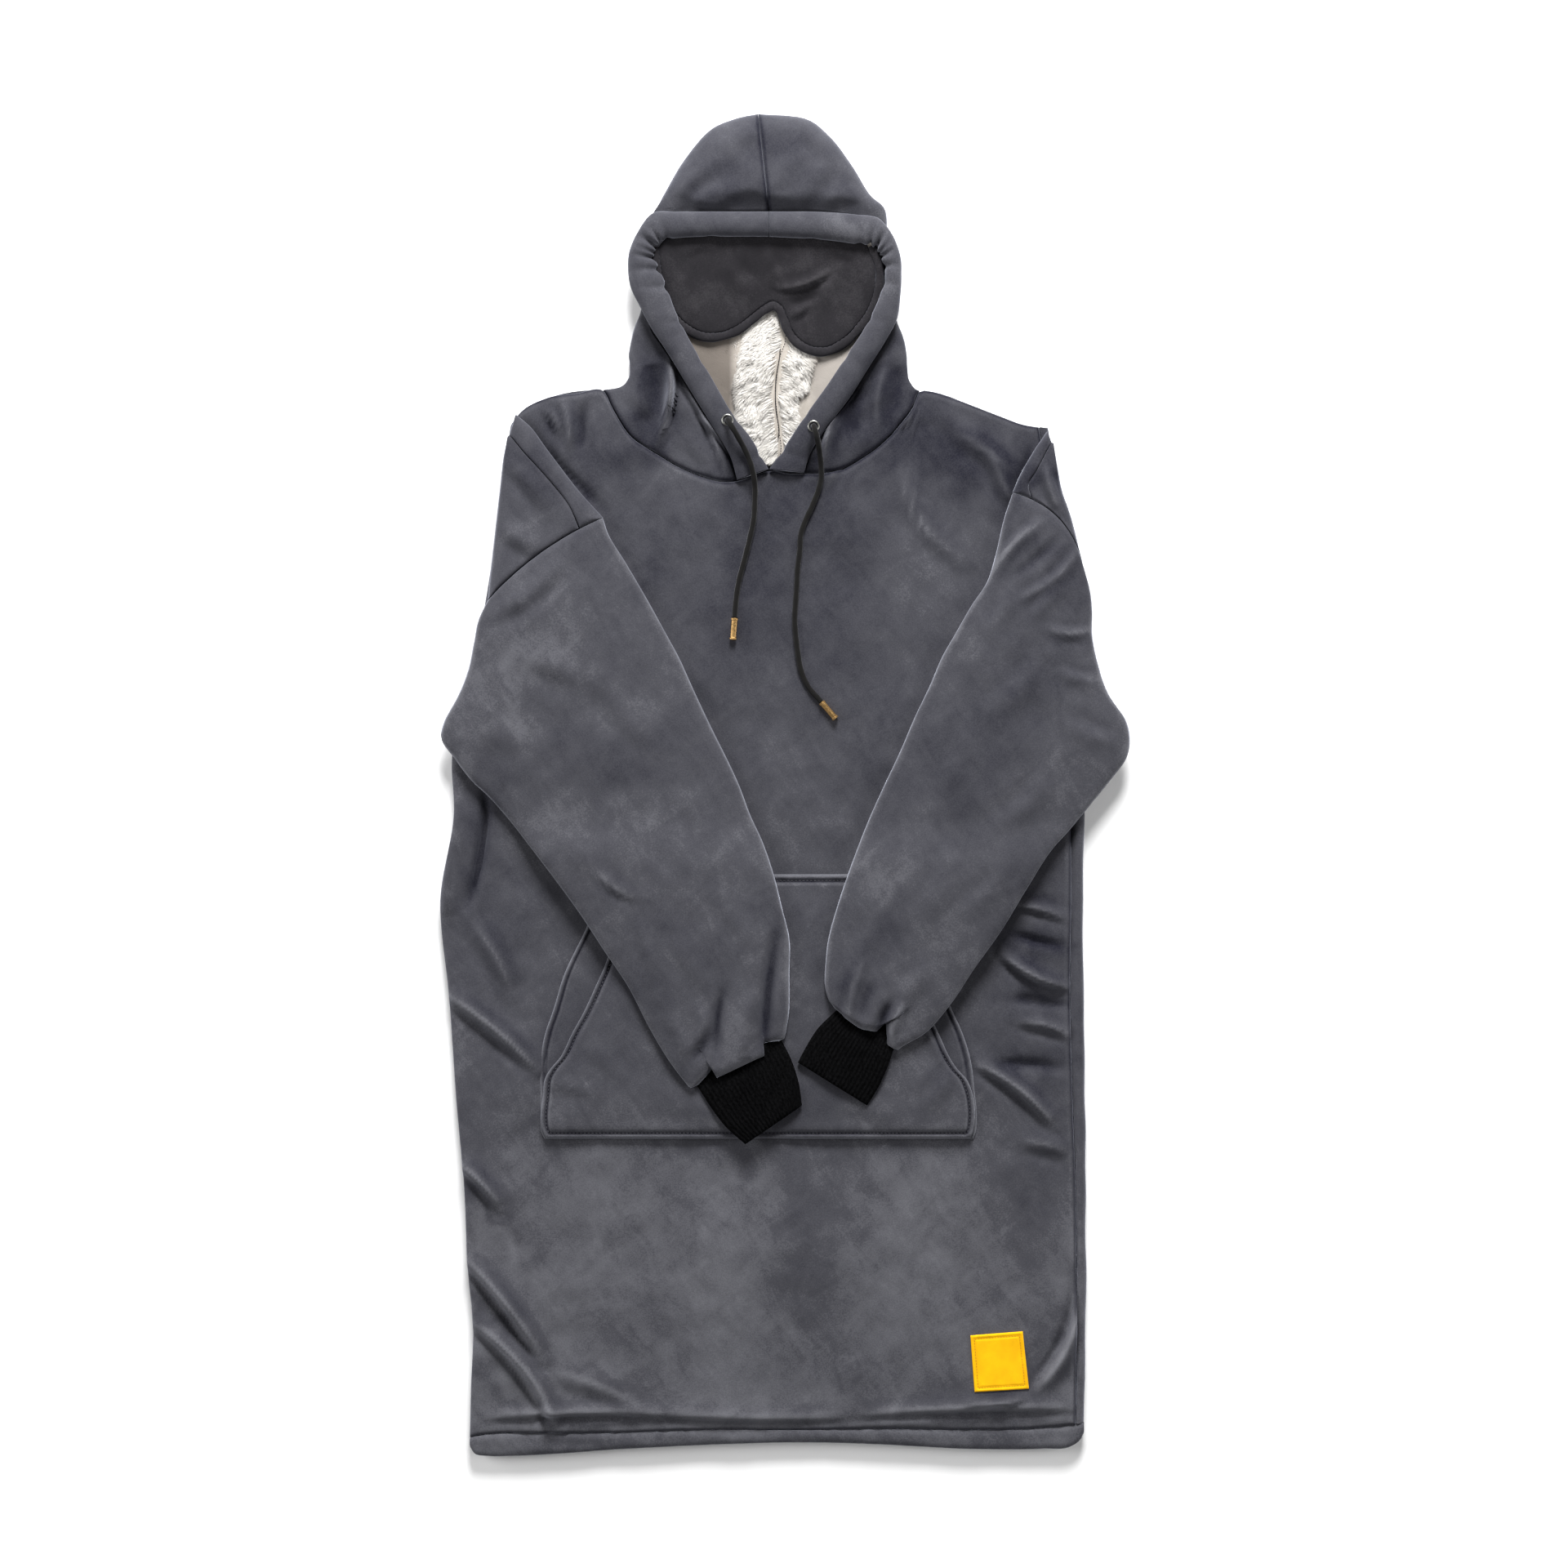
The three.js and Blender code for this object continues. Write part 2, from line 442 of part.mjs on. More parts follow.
function sleeve(sections) {
  const ringOf = (section, inset) => {
    const point = (u, isOver) => {
      const place = sectionPlace(section, u, inset);
      const under = sleeveUnder(place.y);
      const reach = (SLEEVE_HIGH / 2 - inset) * roundness(u, FLAT_POWER);
      const puff = (section.crown * (1 - u * u) + foldsAt(SLEEVE_FOLDS, place.x, place.y)) * roundness(u, 2);
      const level = under + SLEEVE_HIGH / 2;
      const z = isOver ? level + reach + (inset ? 0 : puff) : level - reach;
      return new THREE.Vector3(place.x, place.y, z);
    };
    return [...ACROSS_OVER.map((u) => point(u, true)), ...ACROSS_UNDER.map((u) => point(u, false))];
  };
  const outer = sections.map((section) => ringOf(section, 0));
  const inner = sections.map((section) => ringOf(section, SLEEVE_WALL));
  return wall(outer, inner, true);
}

// Ribs stand up on the outside of the cuff, over a plain inside
function cuff(sections, sleeveEnd) {
  const first = sectionPlace(sleeveEnd, 2 * CUFF_ON_SLEEVE.from - 1);
  const second = sectionPlace(sleeveEnd, 2 * CUFF_ON_SLEEVE.to - 1);
  const start = { ax: first.x, ay: first.y - 1.5 * SEAM_GAP, bx: second.x, by: second.y - 1.5 * SEAM_GAP };
  const level = SLEEVE_ON_POCKET + CUFF_HIGH / 2 + 0.2;
  const steps = 2 * CUFF_RIBS;
  const ringOf = (section, inset) => {
    const ring = [];
    for (let i = 0; i < 2 * steps; i += 1) {
      const angle = (Math.PI * i) / steps;
      const u = Math.cos(angle);
      const rib = inset || i % 2 ? 0 : RIB_RAISED;
      const place = sectionPlace(section, u, inset);
      const plain = (CUFF_HIGH / 2 - RIB_RAISED - inset) * roundness(u, OVER_POWER);
      const z = level + Math.sign(Math.sin(angle)) * plain + rib * Math.sin(angle);
      ring.push(new THREE.Vector3(place.x, place.y, z));
    }
    return ring;
  };
  const rows = [start, ...sections];
  return wall(rows.map((row) => ringOf(row, 0)), rows.map((row) => ringOf(row, CUFF_WALL)), true);
}

// Where the points of a sleeve's first ring lie between two shares of the armhole, ends included
function armholeShares(from, to) {
  const inside = ACROSS_OVER.map((u) => (u + 1) / 2).filter((share) => share > from && share < to);
  return [from, ...inside, to];
}

// A stretch of shoulder cloth folded onto the front, from its own rows down to the armhole
function shoulderPiece(rows, armhole, from, to, dropAt) {
  const onArmhole = armholeShares(from, to);
  const shares = onArmhole.map((share) => (share - from) / (to - from));
  const places = rows.map((row) => shares.map((share) => between(row[0], row[1], share)));
  places.push(onArmhole.map((share) => {
    const place = sectionPlace(armhole, 2 * share - 1);
    return { x: place.x, y: place.y + 1.6 * SEAM_GAP };
  }));
  const under = SLEEVE_UNDER;
  return slab(places.map((line, r) => line.map((place, c) => {
    const isEnd = r === places.length - 1 || r === 0;
    const drop = Math.max(dropAt(shares[c]), isEnd ? SEAM_DIP : 0);
    return { ...place, top: under + SHOULDER_HIGH - drop, under };
  })));
}

// How far cloth drops beside a rounded fold, at a share of the way in from the fold
function foldDrop(share, reach) {
  return SHOULDER_ROUND.drop * (1 - roundness(1 - Math.min(1, share / reach), 2));
}

function shoulderFolds(name, rows, armhole) {
  const spot = (row, key) => ({ x: row[key + "X"], y: row[key + "Y"] });
  const sideways = (row) => Math.sign(row.foldX - row.seamX) * SEAM_GAP;
  const backRows = rows.map((row) => [spot(row, "side"), spot(row, "seam")]);
  const stripRows = rows.map((row) => {
    const seam = spot(row, "seam");
    return [{ x: seam.x + sideways(row), y: seam.y + SEAM_GAP }, spot(row, "fold")];
  });
  const { share, gap } = SHOULDER_SEAM;
  const backDrop = (s) => (s === 1 ? SEAM_DIP : foldDrop(s, SHOULDER_ROUND.side));
  const stripDrop = (s) => (s === 0 ? SEAM_DIP : foldDrop(1 - s, SHOULDER_ROUND.fold));
  add("shoulder_fold_back_" + name, shoulderPiece(backRows, armhole, 0, share - gap / 2, backDrop), CLOTH);
  add("shoulder_fold_front_" + name, shoulderPiece(stripRows, armhole, share + gap / 2, 1, stripDrop), CLOTH);
}

// The neck seam from the casing out to the shoulder, on the hood's side of it
function neckChain(edge, rows, isLeft, from) {
  const side = { x: rows[0].sideX, y: rows[0].sideY };
  const within = edge.filter((p) => (isLeft ? p.x < from && p.x > side.x : p.x > from && p.x < side.x));
  const chain = isLeft ? within.reverse() : within;
  const start = { x: from, y: valueAt(edge, "x", "y", from) };
  const inward = isLeft ? SEAM_GAP : -SEAM_GAP;
  return [start, ...chain, side].map((p) => ({ x: p.x + inward, y: p.y + 1.5 * SEAM_GAP }));
}

function hoodHalf(rows, isLeft) {
  const middle = HOOD_MIDDLE + (isLeft ? -0.3 : 0.3);
  const neck = neckChain(FRONT_EDGE, rows, isLeft, rows[0].outX);
  const nape = neckChain(BACK_EDGE, rows, isLeft, middle);
  nape[0].x = middle;
  const lineOf = (row, inset) => {
    const out = new THREE.Vector2(row.outX, row.outY);
    const into = new THREE.Vector2(row.inX, row.inY).sub(out).normalize();
    const face = out.clone().addScaledVector(into, row.tuck);
    const side = new THREE.Vector2(row.sideX, row.sideY);
    const back = new THREE.Vector2(middle, row.backY);
    const isNeck = row === rows[0];
    const over = isNeck ? neck : [face, side];
    const beneath = isNeck ? nape : [back, side];
    const overReach = 1 - Math.min(inset, 0.8 * face.distanceTo(side)) / face.distanceTo(side);
    const curl = Math.min(row.high / 2, CURL_LEVEL);
    const turn = isNeck ? along(nape, 1 - inset / Math.abs(row.sideX - middle)) : along(over, overReach);
    const points = [];
    for (let i = 0; i <= HOOD_STEPS; i += 1) {
      const s = Math.sin((Math.PI / 2) * (i / HOOD_STEPS));
      const place = i === HOOD_STEPS ? turn : along(over, s * overReach);
      const z = curl + (row.high - inset - curl) * roundness(s, OVER_POWER);
      points.push(new THREE.Vector3(place.x, place.y, z));
    }
    for (let i = HOOD_STEPS - 1; i >= 0; i -= 1) {
      const s = Math.sin((Math.PI / 2) * (i / HOOD_STEPS));
      const onLine = along(beneath, s);
      const toTurn = s ** UNDER_POWER;
      const end = beneath[beneath.length - 1];
      const x = onLine.x + (turn.x - end.x) * toTurn;
      const y = onLine.y + (turn.y - end.y) * toTurn;
      points.push(new THREE.Vector3(x, y, curl - (curl - inset) * roundness(s, UNDER_POWER)));
    }
    return points;
  };
  return wall(rows.map((row) => lineOf(row, 0)), rows.map((row) => lineOf(row, WALL)));
}

// The casing is the hood's edge folded over its cord, a rounded band
function casing(rows) {
  return band(rows.map((row) => {
    const ring = [];
    for (let i = 0; i < CASING_SIDES; i += 1) {
      const angle = (2 * Math.PI * i) / CASING_SIDES;
      const share = (1 - Math.cos(angle)) / 2;
      const place = between({ x: row.outX, y: row.outY }, { x: row.inX, y: row.inY }, share);
      ring.push(new THREE.Vector3(place.x, place.y, row.casing + row.half * Math.sin(angle)));
    }
    return ring;
  }));
}

function lining(isLeft) {
  return slab(LINING.map((row, r) => LINING_ACROSS.map((share, c) => {
    const edge = isLeft ? row.left : row.right;
    const seam = row.seam + (isLeft ? -SEAM_GAP : SEAM_GAP);
    const isEnd = r === 0 || r === LINING.length - 1;
    const drop = Math.min(Math.max(LINING_DROP[c], isEnd ? 1 : 0), 0.8 * (row.top - LINING_UNDER));
    return { x: THREE.MathUtils.lerp(edge, seam, share), y: row.y, top: row.top - drop, under: LINING_UNDER };
  })));
}

function maskLevel(y) {
  const rise = THREE.MathUtils.smoothstep(y, MASK_LEVEL.from, MASK_LEVEL.to);
  return THREE.MathUtils.lerp(MASK_LEVEL.low, MASK_LEVEL.high, rise);
}

function maskPanel() {
  return slab(MASK.map((column) => MASK_DOWN.map((share) => {
    const y = THREE.MathUtils.lerp(column.top, column.bottom, share);
    return { x: column.x, y, top: maskLevel(y), under: maskLevel(y) - MASK_WALL };
  })));
}

// A bound edge round the sides and the foot of the mask
function maskBinding() {
  const first = MASK[0];
  const last = MASK[MASK.length - 1];
  const foot = MASK.map((column) => ({ x: column.x, y: column.bottom }));
  const endOf = (column) => ({ x: column.x, y: column.top - BINDING.below });
  const edge = [endOf(first), ...foot, endOf(last)];
  const path = edge.map((p, i) => {
    const before = edge[Math.max(i - 1, 0)];
    const after = edge[Math.min(i + 1, edge.length - 1)];
    const run = new THREE.Vector2(after.x - before.x, after.y - before.y).normalize();
    return { x: p.x + run.y * BINDING.offset, y: p.y - run.x * BINDING.offset, run };
  });
  return band(path.map((p) => {
    const ring = [];
    for (let i = 0; i < BINDING.sides; i += 1) {
      const angle = (2 * Math.PI * i) / BINDING.sides;
      const across = BINDING.halfWidth * Math.cos(angle);
      const z = maskLevel(p.y) - MASK_WALL / 2 + BINDING.halfHeight * Math.sin(angle);
      ring.push(new THREE.Vector3(p.x + p.run.y * across, p.y - p.run.x * across, z));
    }
    return ring;
  }));
}

function pocketLayer(rows, under, thick) {
  return slab(rows.map((row, r) => POCKET_ACROSS.map((share, c) => {
    const isEnd = r === 0 || r === rows.length - 1;
    const drop = Math.max(POCKET_DROP[c], isEnd ? POCKET_DROP[0] : 0);
    const x = THREE.MathUtils.lerp(row.left, row.right, share);
    return { x, y: row.y, top: under + thick - drop, under };
  })));
}

// The label lies on the points of the panel under it, moved out
function labelPatch(panel) {
  panel.updateMatrixWorld(true);
  const down = new THREE.Vector3(0, 0, -1);
  const levelUnder = (place) => {
    const ray = new THREE.Raycaster(new THREE.Vector3(place.x, place.y, LABEL.above), down);
    return LABEL.above - ray.intersectObject(panel)[0].distance;
  };
  const grid = [];
  for (let r = 0; r <= LABEL_STEPS; r += 1) {
    const left = between(LABEL.left, LABEL_FOOT.left, r / LABEL_STEPS);
    const right = between(LABEL.right, LABEL_FOOT.right, r / LABEL_STEPS);
    const row = [];
    for (let c = 0; c <= LABEL_STEPS; c += 1) {
      const place = between(left, right, c / LABEL_STEPS);
      const under = levelUnder(place) + LABEL.clear;
      row.push({ ...place, under, top: under + LABEL.thick });
    }
    grid.push(row);
  }
  return slab(grid);
}

function merged(geometry) {
  geometry.deleteAttribute("normal");
  geometry.deleteAttribute("uv");
  return mergeVertices(geometry);
}

function cordCurve(route) {
  const points = route.map((row) => new THREE.Vector3(row.x, row.y, row.z));
  return new THREE.CatmullRomCurve3(points, false, "centripetal");
}

function cord(route) {
  const section = new THREE.Shape();
  section.absarc(0, 0, CORD_RADIUS, 0, 2 * Math.PI);
  const outline = new THREE.Shape(section.getSpacedPoints(CORD_SIDES).slice(0, CORD_SIDES));
  const extrudePath = cordCurve(route);
  const steps = Math.round(extrudePath.getLength() / CORD_STEP);
  return merged(new THREE.ExtrudeGeometry(outline, { steps, bevelEnabled: false, extrudePath }));
}

// The metal tip on the end of a cord, a lipped barrel with a slightly domed end
function cordTip(route) {
  const { radius, length, lip, rim, neck, dome } = TIP;
  const start = [[0, 0], [radius - lip, 0], [radius, lip], [radius, rim], [radius - lip, neck]];
  const end = [[radius - lip, length - neck], [radius, length - rim], [radius, length - lip],
    [radius - dome, length], [0, length]];
  const points = [...start, ...end].map(([x, y]) => new THREE.Vector2(x, y));
  const geometry = merged(new THREE.LatheGeometry(points, TIP.sides));
  const curve = cordCurve(route);
  const run = curve.getTangent(1).setZ(0).normalize();
  const base = curve.getPoint(1).addScaledVector(run, TIP.clear).setZ(ON_FRONT + radius + LAYER_GAP);
  geometry.applyQuaternion(new THREE.Quaternion().setFromUnitVectors(new THREE.Vector3(0, 1, 0), run));
  return geometry.translate(base.x, base.y, base.z);
}

function eyelet(place) {
  const { ring, wire, sides, wireSides } = EYELET;
  const geometry = merged(new THREE.TorusGeometry(ring, wire, wireSides, sides));
  return geometry.translate(place.x, place.y, place.z);
}

const panel = add("front_panel", frontPanel(), CLOTH);
add("back_panel", backPanel(), CLOTH);
add("hem_band_front", hemBand(FRONT_UNDER, FRONT_TOP - HEM_SINK, false), CLOTH);
add("hem_band_back", hemBand(0, WALL, true), CLOTH);
add("sleeve_left", sleeve(SLEEVE_LEFT), CLOTH);
add("sleeve_right", sleeve(SLEEVE_RIGHT), CLOTH);
add("cuff_left", cuff(CUFF_LEFT, SLEEVE_LEFT[SLEEVE_LEFT.length - 1]), RIB);
add("cuff_right", cuff(CUFF_RIGHT, SLEEVE_RIGHT[SLEEVE_RIGHT.length - 1]), RIB);
shoulderFolds("left", SHOULDER_LEFT, SLEEVE_LEFT[0]);
shoulderFolds("right", SHOULDER_RIGHT, SLEEVE_RIGHT[0]);
add("hood_left", hoodHalf(HOOD_LEFT, true), CLOTH);
add("hood_right", hoodHalf(HOOD_RIGHT, false), CLOTH);
add("hood_casing_left", casing(HOOD_LEFT), CLOTH);
add("hood_casing_right", casing(HOOD_RIGHT), CLOTH);
add("hood_lining_left", lining(true), FLEECE);
add("hood_lining_right", lining(false), FLEECE);
add("eye_mask", maskPanel(), MASK_CLOTH);
add("eye_mask_binding", maskBinding(), MASK_CLOTH);
add("pocket_backing", pocketLayer(POCKET_BACKING, ON_FRONT, POCKET_BACKING_THICK), CLOTH);
add("pocket_front", pocketLayer(POCKET_FRONT, POCKET_UNDER, POCKET_THICK), CLOTH);
add("label_patch", labelPatch(panel), YELLOW);
add("drawcord_left", cord(CORD_LEFT), CORD);
add("drawcord_right", cord(CORD_RIGHT), CORD);
add("cord_tip_left", cordTip(CORD_LEFT), GOLD);
add("cord_tip_right", cordTip(CORD_RIGHT), GOLD);
add("eyelet_left", eyelet(EYELETS[0]), NICKEL);
add("eyelet_right", eyelet(EYELETS[1]), NICKEL);

export default hoodie;
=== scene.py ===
# A long hooded pullover of thick plush with a fleece inside, laid out on its back.
# Tables are in millimetres, as in the part's source. X runs to the right, Y towards the hood, Z up.
import math

import bpy
import numpy as np
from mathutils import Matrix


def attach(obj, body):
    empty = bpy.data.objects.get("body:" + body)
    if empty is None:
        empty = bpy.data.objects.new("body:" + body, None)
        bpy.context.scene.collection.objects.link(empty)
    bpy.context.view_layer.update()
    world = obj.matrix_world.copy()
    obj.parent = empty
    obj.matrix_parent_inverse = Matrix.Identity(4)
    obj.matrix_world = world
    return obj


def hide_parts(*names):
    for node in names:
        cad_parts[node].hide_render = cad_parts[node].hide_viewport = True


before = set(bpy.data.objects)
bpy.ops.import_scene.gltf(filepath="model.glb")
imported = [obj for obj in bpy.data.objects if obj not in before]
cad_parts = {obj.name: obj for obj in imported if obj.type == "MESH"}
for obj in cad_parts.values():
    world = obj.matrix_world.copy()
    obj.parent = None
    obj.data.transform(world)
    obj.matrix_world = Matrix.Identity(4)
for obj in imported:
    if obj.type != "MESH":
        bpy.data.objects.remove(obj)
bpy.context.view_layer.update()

MM = 0.001

# Layers, from the surface up
WALL = 7
SLEEVE_WALL = 6
CUFF_WALL = 3.2
MASK_WALL = 3
SEAM_GAP = 0.4
FRONT_UNDER = 7.3
FRONT_TOP = 14.3
ON_FRONT = 14.6
POCKET_BACKING_THICK = 2
POCKET_THICK = 4.5
POCKET_UNDER = 16.9
SLEEVE_UNDER = 14.7
SLEEVE_ON_POCKET = 21.8
LINING_UNDER = 7.3


# Rows of numbers with named columns, kept as one array a column
def table(columns, *rows):
    return {name: np.array([row[i] for row in rows], float) for i, name in enumerate(columns.split())}


# Body: left and right edges and the side seam that shows in front, for each level
HEM_LEVEL = -619
SHOULDER_LEVEL = 344
BODY_LENGTH = SHOULDER_LEVEL - HEM_LEVEL
BODY = table("y left right seam",
    (-619, -302, 286, 278), (-576, -301, 287, 279), (-513, -299, 288, 279), (-459, -304, 288, 279),
    (-386, -307, 288, 278), (-295, -315, 287, 275), (-196, -322, 286, 273), (-108, -330, 285, 274),
    (-25, -317, 287, 274), (31, -319, 287, 275), (103, -302, 289, 277), (173, -288, 285, 274),
    (243, -277, 271, 261), (313, -268, 258, 249), (344, -263, 252, 243))
FRONT_EDGE = table("x y",
    (-266, 341), (-250, 360), (-227, 371), (-200, 375), (-175, 378), (-165, 360), (-147, 333),
    (-126, 319), (-103, 305), (-79, 295), (-57, 290), (-46, 291), (-32, 295), (-14, 301), (3, 298),
    (18, 298), (34, 298), (54, 302), (74, 313), (94, 328), (110, 345), (122, 361), (129, 377), (143, 376),
    (164, 369), (185, 361), (206, 353), (228, 345), (247, 342))
BACK_EDGE = table("x y",
    (-266, 341), (-250, 360), (-227, 371), (-175, 378), (-120, 360), (-60, 352), (-15, 350), (40, 352),
    (90, 360), (129, 377), (143, 376), (185, 361), (228, 345), (247, 342))

# Creases: a line with a bend at its middle, the ridge's width and height, and how steep its right side is
FRONT_CREASES = table("x0 y0 x1 y1 bend width height steep",
    (-256, 350, -170, 262, -4, 4.3, -5.5, 1), (236, 322, 212, 262, 3, 4.3, -4.5, 1),
    (-236, 374, -222, 330, 3, 6, -3.4, 1), (-311, -362, -272, -404, 3, 9.4, 9.9, 0.55),
    (-308, -450, -232, -548, 5, 10.8, 13, 0.5), (-301, -512, -218, -616, 12, 10.8, 13, 0.5),
    (-324, -200, -236, -272, 4, 10.1, 9.2, 0.6), (-318, -20, -322, -128, -3, 7.9, 10.9, 1),
    (-287, -8, -304, -116, 5, 4.4, -10.5, 1), (-300, -130, -262, -196, 4, 11.5, 5.2, 0.8),
    (-262, -250, -246, -330, -4, 22, 3.5, 1), (-240, -420, -214, -500, 6, 20, 1.8, 0.8),
    (-226, -560, -130, -600, 6, 13, 4.4, 0.8), (206, -112, 270, -128, 3, 5.8, 5.2, 0.7),
    (212, -140, 268, -154, -2, 4.3, -5.6, 1), (208, -162, 272, -194, -5, 7.9, 9.9, 0.55),
    (216, -206, 272, -212, 3, 5, -5.6, 1), (222, -226, 273, -240, 4, 7.2, 5.6, 0.7),
    (198, -268, 268, -272, 3, 5, -4.8, 1), (184, -266, 258, -326, 6, 8.6, 9.5, 0.6),
    (226, -340, 272, -352, 3, 9.4, 4.4, 0.8), (283, -470, 240, -578, 12, 9.4, 10.9, 0.5),
    (170, -589, 232, -585, -3, 5, 6.4, 0.6), (266, -400, 270, -470, 2, 12, 1.8, 1),
    (-285, -604, -120, -600, 3, 7, 6.5, 0.55), (-130, -598, 60, -602, -4, 8, 5, 0.6),
    (70, -601, 275, -595, 3, 7.5, 6.8, 0.55), (-190, -607, -60, -603, 3, 7, 1.6, 0.7),
    (60, -606, 190, -602, -3, 8, 1.7, 0.7), (-110, -470, 110, -452, 10, 60, 5.2, 1),
    (-60, -380, -76, -560, 8, 34, 1.4, 1), (86, -400, 104, -560, -8, 30, 1.3, 1),
    (38, 284, 132, 350, 18, 6.5, 7.8, 0.6), (108, 300, 170, 214, -10, 10.8, 4.4, 0.8),
    (60, 270, 96, 190, -6, 20, 1.6, 0.8), (-128, 300, -96, 196, 8, 18, 1.8, 0.8),
    (-214, 366, -206, 322, 3, 5.8, 6.9, 0.6), (-190, 366, -196, 320, -2, 5, -5.2, 1),
    (-232, 362, -214, 336, 2, 5.8, 5.6, 0.7), (-60, 240, -48, 60, 10, 34, 1.6, 1),
    (30, 220, 44, 40, -10, 38, 1.7, 1), (96, 160, 110, -20, 6, 24, 1.5, 0.9),
    (-40, 30, -10, -60, 6, 26, 1.6, 1), (4, -14, 60, -70, 6, 18, 1.5, 0.9),
    (160, 336, 214, 300, 4, 10.8, 4.8, 0.8), (196, 320, 226, 262, -4, 8.6, 4.8, 0.8),
    (142, 372, 182, 330, -5, 9, 1.8, 0.8))
BACK_CREASES = table("x0 y0 x1 y1 bend width height steep",
    (-250, -380, -150, -440, 8, 7, 1.8, 1), (-262, -500, -120, -560, -10, 8, 2.1, 1),
    (60, -480, 236, -430, 9, 7, 1.9, 1), (-200, -130, -60, -110, 6, 6, 1.6, 1),
    (70, -200, 220, -160, -8, 8, 2.1, 1), (-190, 60, -40, 96, 8, 7, 1.8, 1),
    (30, 60, 190, 20, -8, 6, 1.6, 1), (-210, 250, -90, 316, 10, 8, 2.1, 1),
    (80, 316, 196, 240, 9, 7, 2, 1), (-60, 300, 70, 306, 4, 6, 1.6, 1),
    (-180, -300, -110, -216, -6, 6, 1.6, 1), (130, -330, 200, -300, 5, 6, 1.7, 1),
    (-30, -300, 40, -388, 8, 7, 1.6, 1), (-120, 190, 10, 176, -8, 7, 1.6, 1))

# Hem band: its seam with the panels and its lower edge
HEM = table("x seam bottom",
    (-302, -625, -633), (-297, -623, -640), (-285, -621, -642), (-263, -620, -642), (-220, -620, -640),
    (-165, -620, -636), (-88, -617, -632), (14, -617, -629), (92, -616, -631), (169, -617, -635),
    (246, -615, -635), (273, -612, -633), (281, -611, -628), (286, -610, -620))
HEM_SINK = 0.6

# Sleeves: a is the outer edge, b the chest side; reach shapes the gathered end beyond the last section
SLEEVE_LEFT = table("ax ay bx by bow crown",
    (-284, 176, -174, 255, -7, 1), (-292, 160, -169, 240, -3, 3), (-297, 137, -152, 212, 0, 5),
    (-303, 109, -131, 176, 0, 5), (-313, 84, -114, 145, 0, 5), (-326, 60, -101, 121, 0, 4),
    (-328, 44, -87, 90, 0, 3), (-316, 26, -70, 54, 0, 4), (-300, 5, -56, 26, 0, 4),
    (-282, -12, -44, 0, 0, 3), (-262, -35, -34, -27, 0, 3), (-243, -59, -22, -53, 0, 4),
    (-220, -89, -11, -85, 0, 3), (-196, -122, -3, -117, 0, 3), (-173, -157, 4, -147, 0, 4),
    (-149, -193, 4, -177, 0, 3), (-129, -232, 4, -205, 0, 4), (-109, -265, 3, -225, 0, 4),
    (-96, -282, 1, -239, 0, 3), (-92, -287, 0, -243, 0, 1.5))
SLEEVE_RIGHT = table("ax ay bx by bow crown",
    (284, 210, 217, 279, 14, 1), (290, 190, 209, 255, 5, 3), (293, 167, 201, 221, 0, 4),
    (293, 143, 193, 195, 0, 5), (299, 114, 178, 172, 0, 5), (309, 86, 162, 144, 0, 4),
    (325, 62, 149, 121, 0, 4), (329, 45, 138, 95, 0, 3), (326, 27, 125, 68, 0, 4),
    (312, 7, 110, 33, 0, 4), (295, -14, 94, -1, 0, 4), (272, -42, 78, -37, 0, 3),
    (253, -63, 64, -73, 0, 3), (230, -99, 50, -114, 0, 4), (205, -140, 41, -147, 0, 3),
    (180, -175, 38, -174, 0, 3), (155, -212, 38, -194, 0, 4), (133, -236, 41, -206, 0, 4),
    (112, -248, 44, -211, 0, 3), (108, -251, 46, -214, 0, 1.5))
END_LEFT = table("u reach",
    (-1, 0), (-0.94, 2.4), (-0.8, 0), (-0.6, -4), (-0.47, -8), (-0.42, -9), (-0.36, 2), (-0.2, 4),
    (0.1, 4), (0.38, 7), (0.48, 3), (0.53, -3), (0.6, -7), (0.72, -6), (0.88, -4), (1, -2))
END_RIGHT = table("u reach",
    (-1, 1), (-0.9, 2), (-0.72, -4), (-0.56, -13), (-0.44, -18), (-0.36, -9), (-0.1, -1), (0.3, 2),
    (0.6, 1), (0.8, -1), (1, -2))
SLEEVE_HIGH = 13.4
SLEEVE_RAMP = (-30, -80)
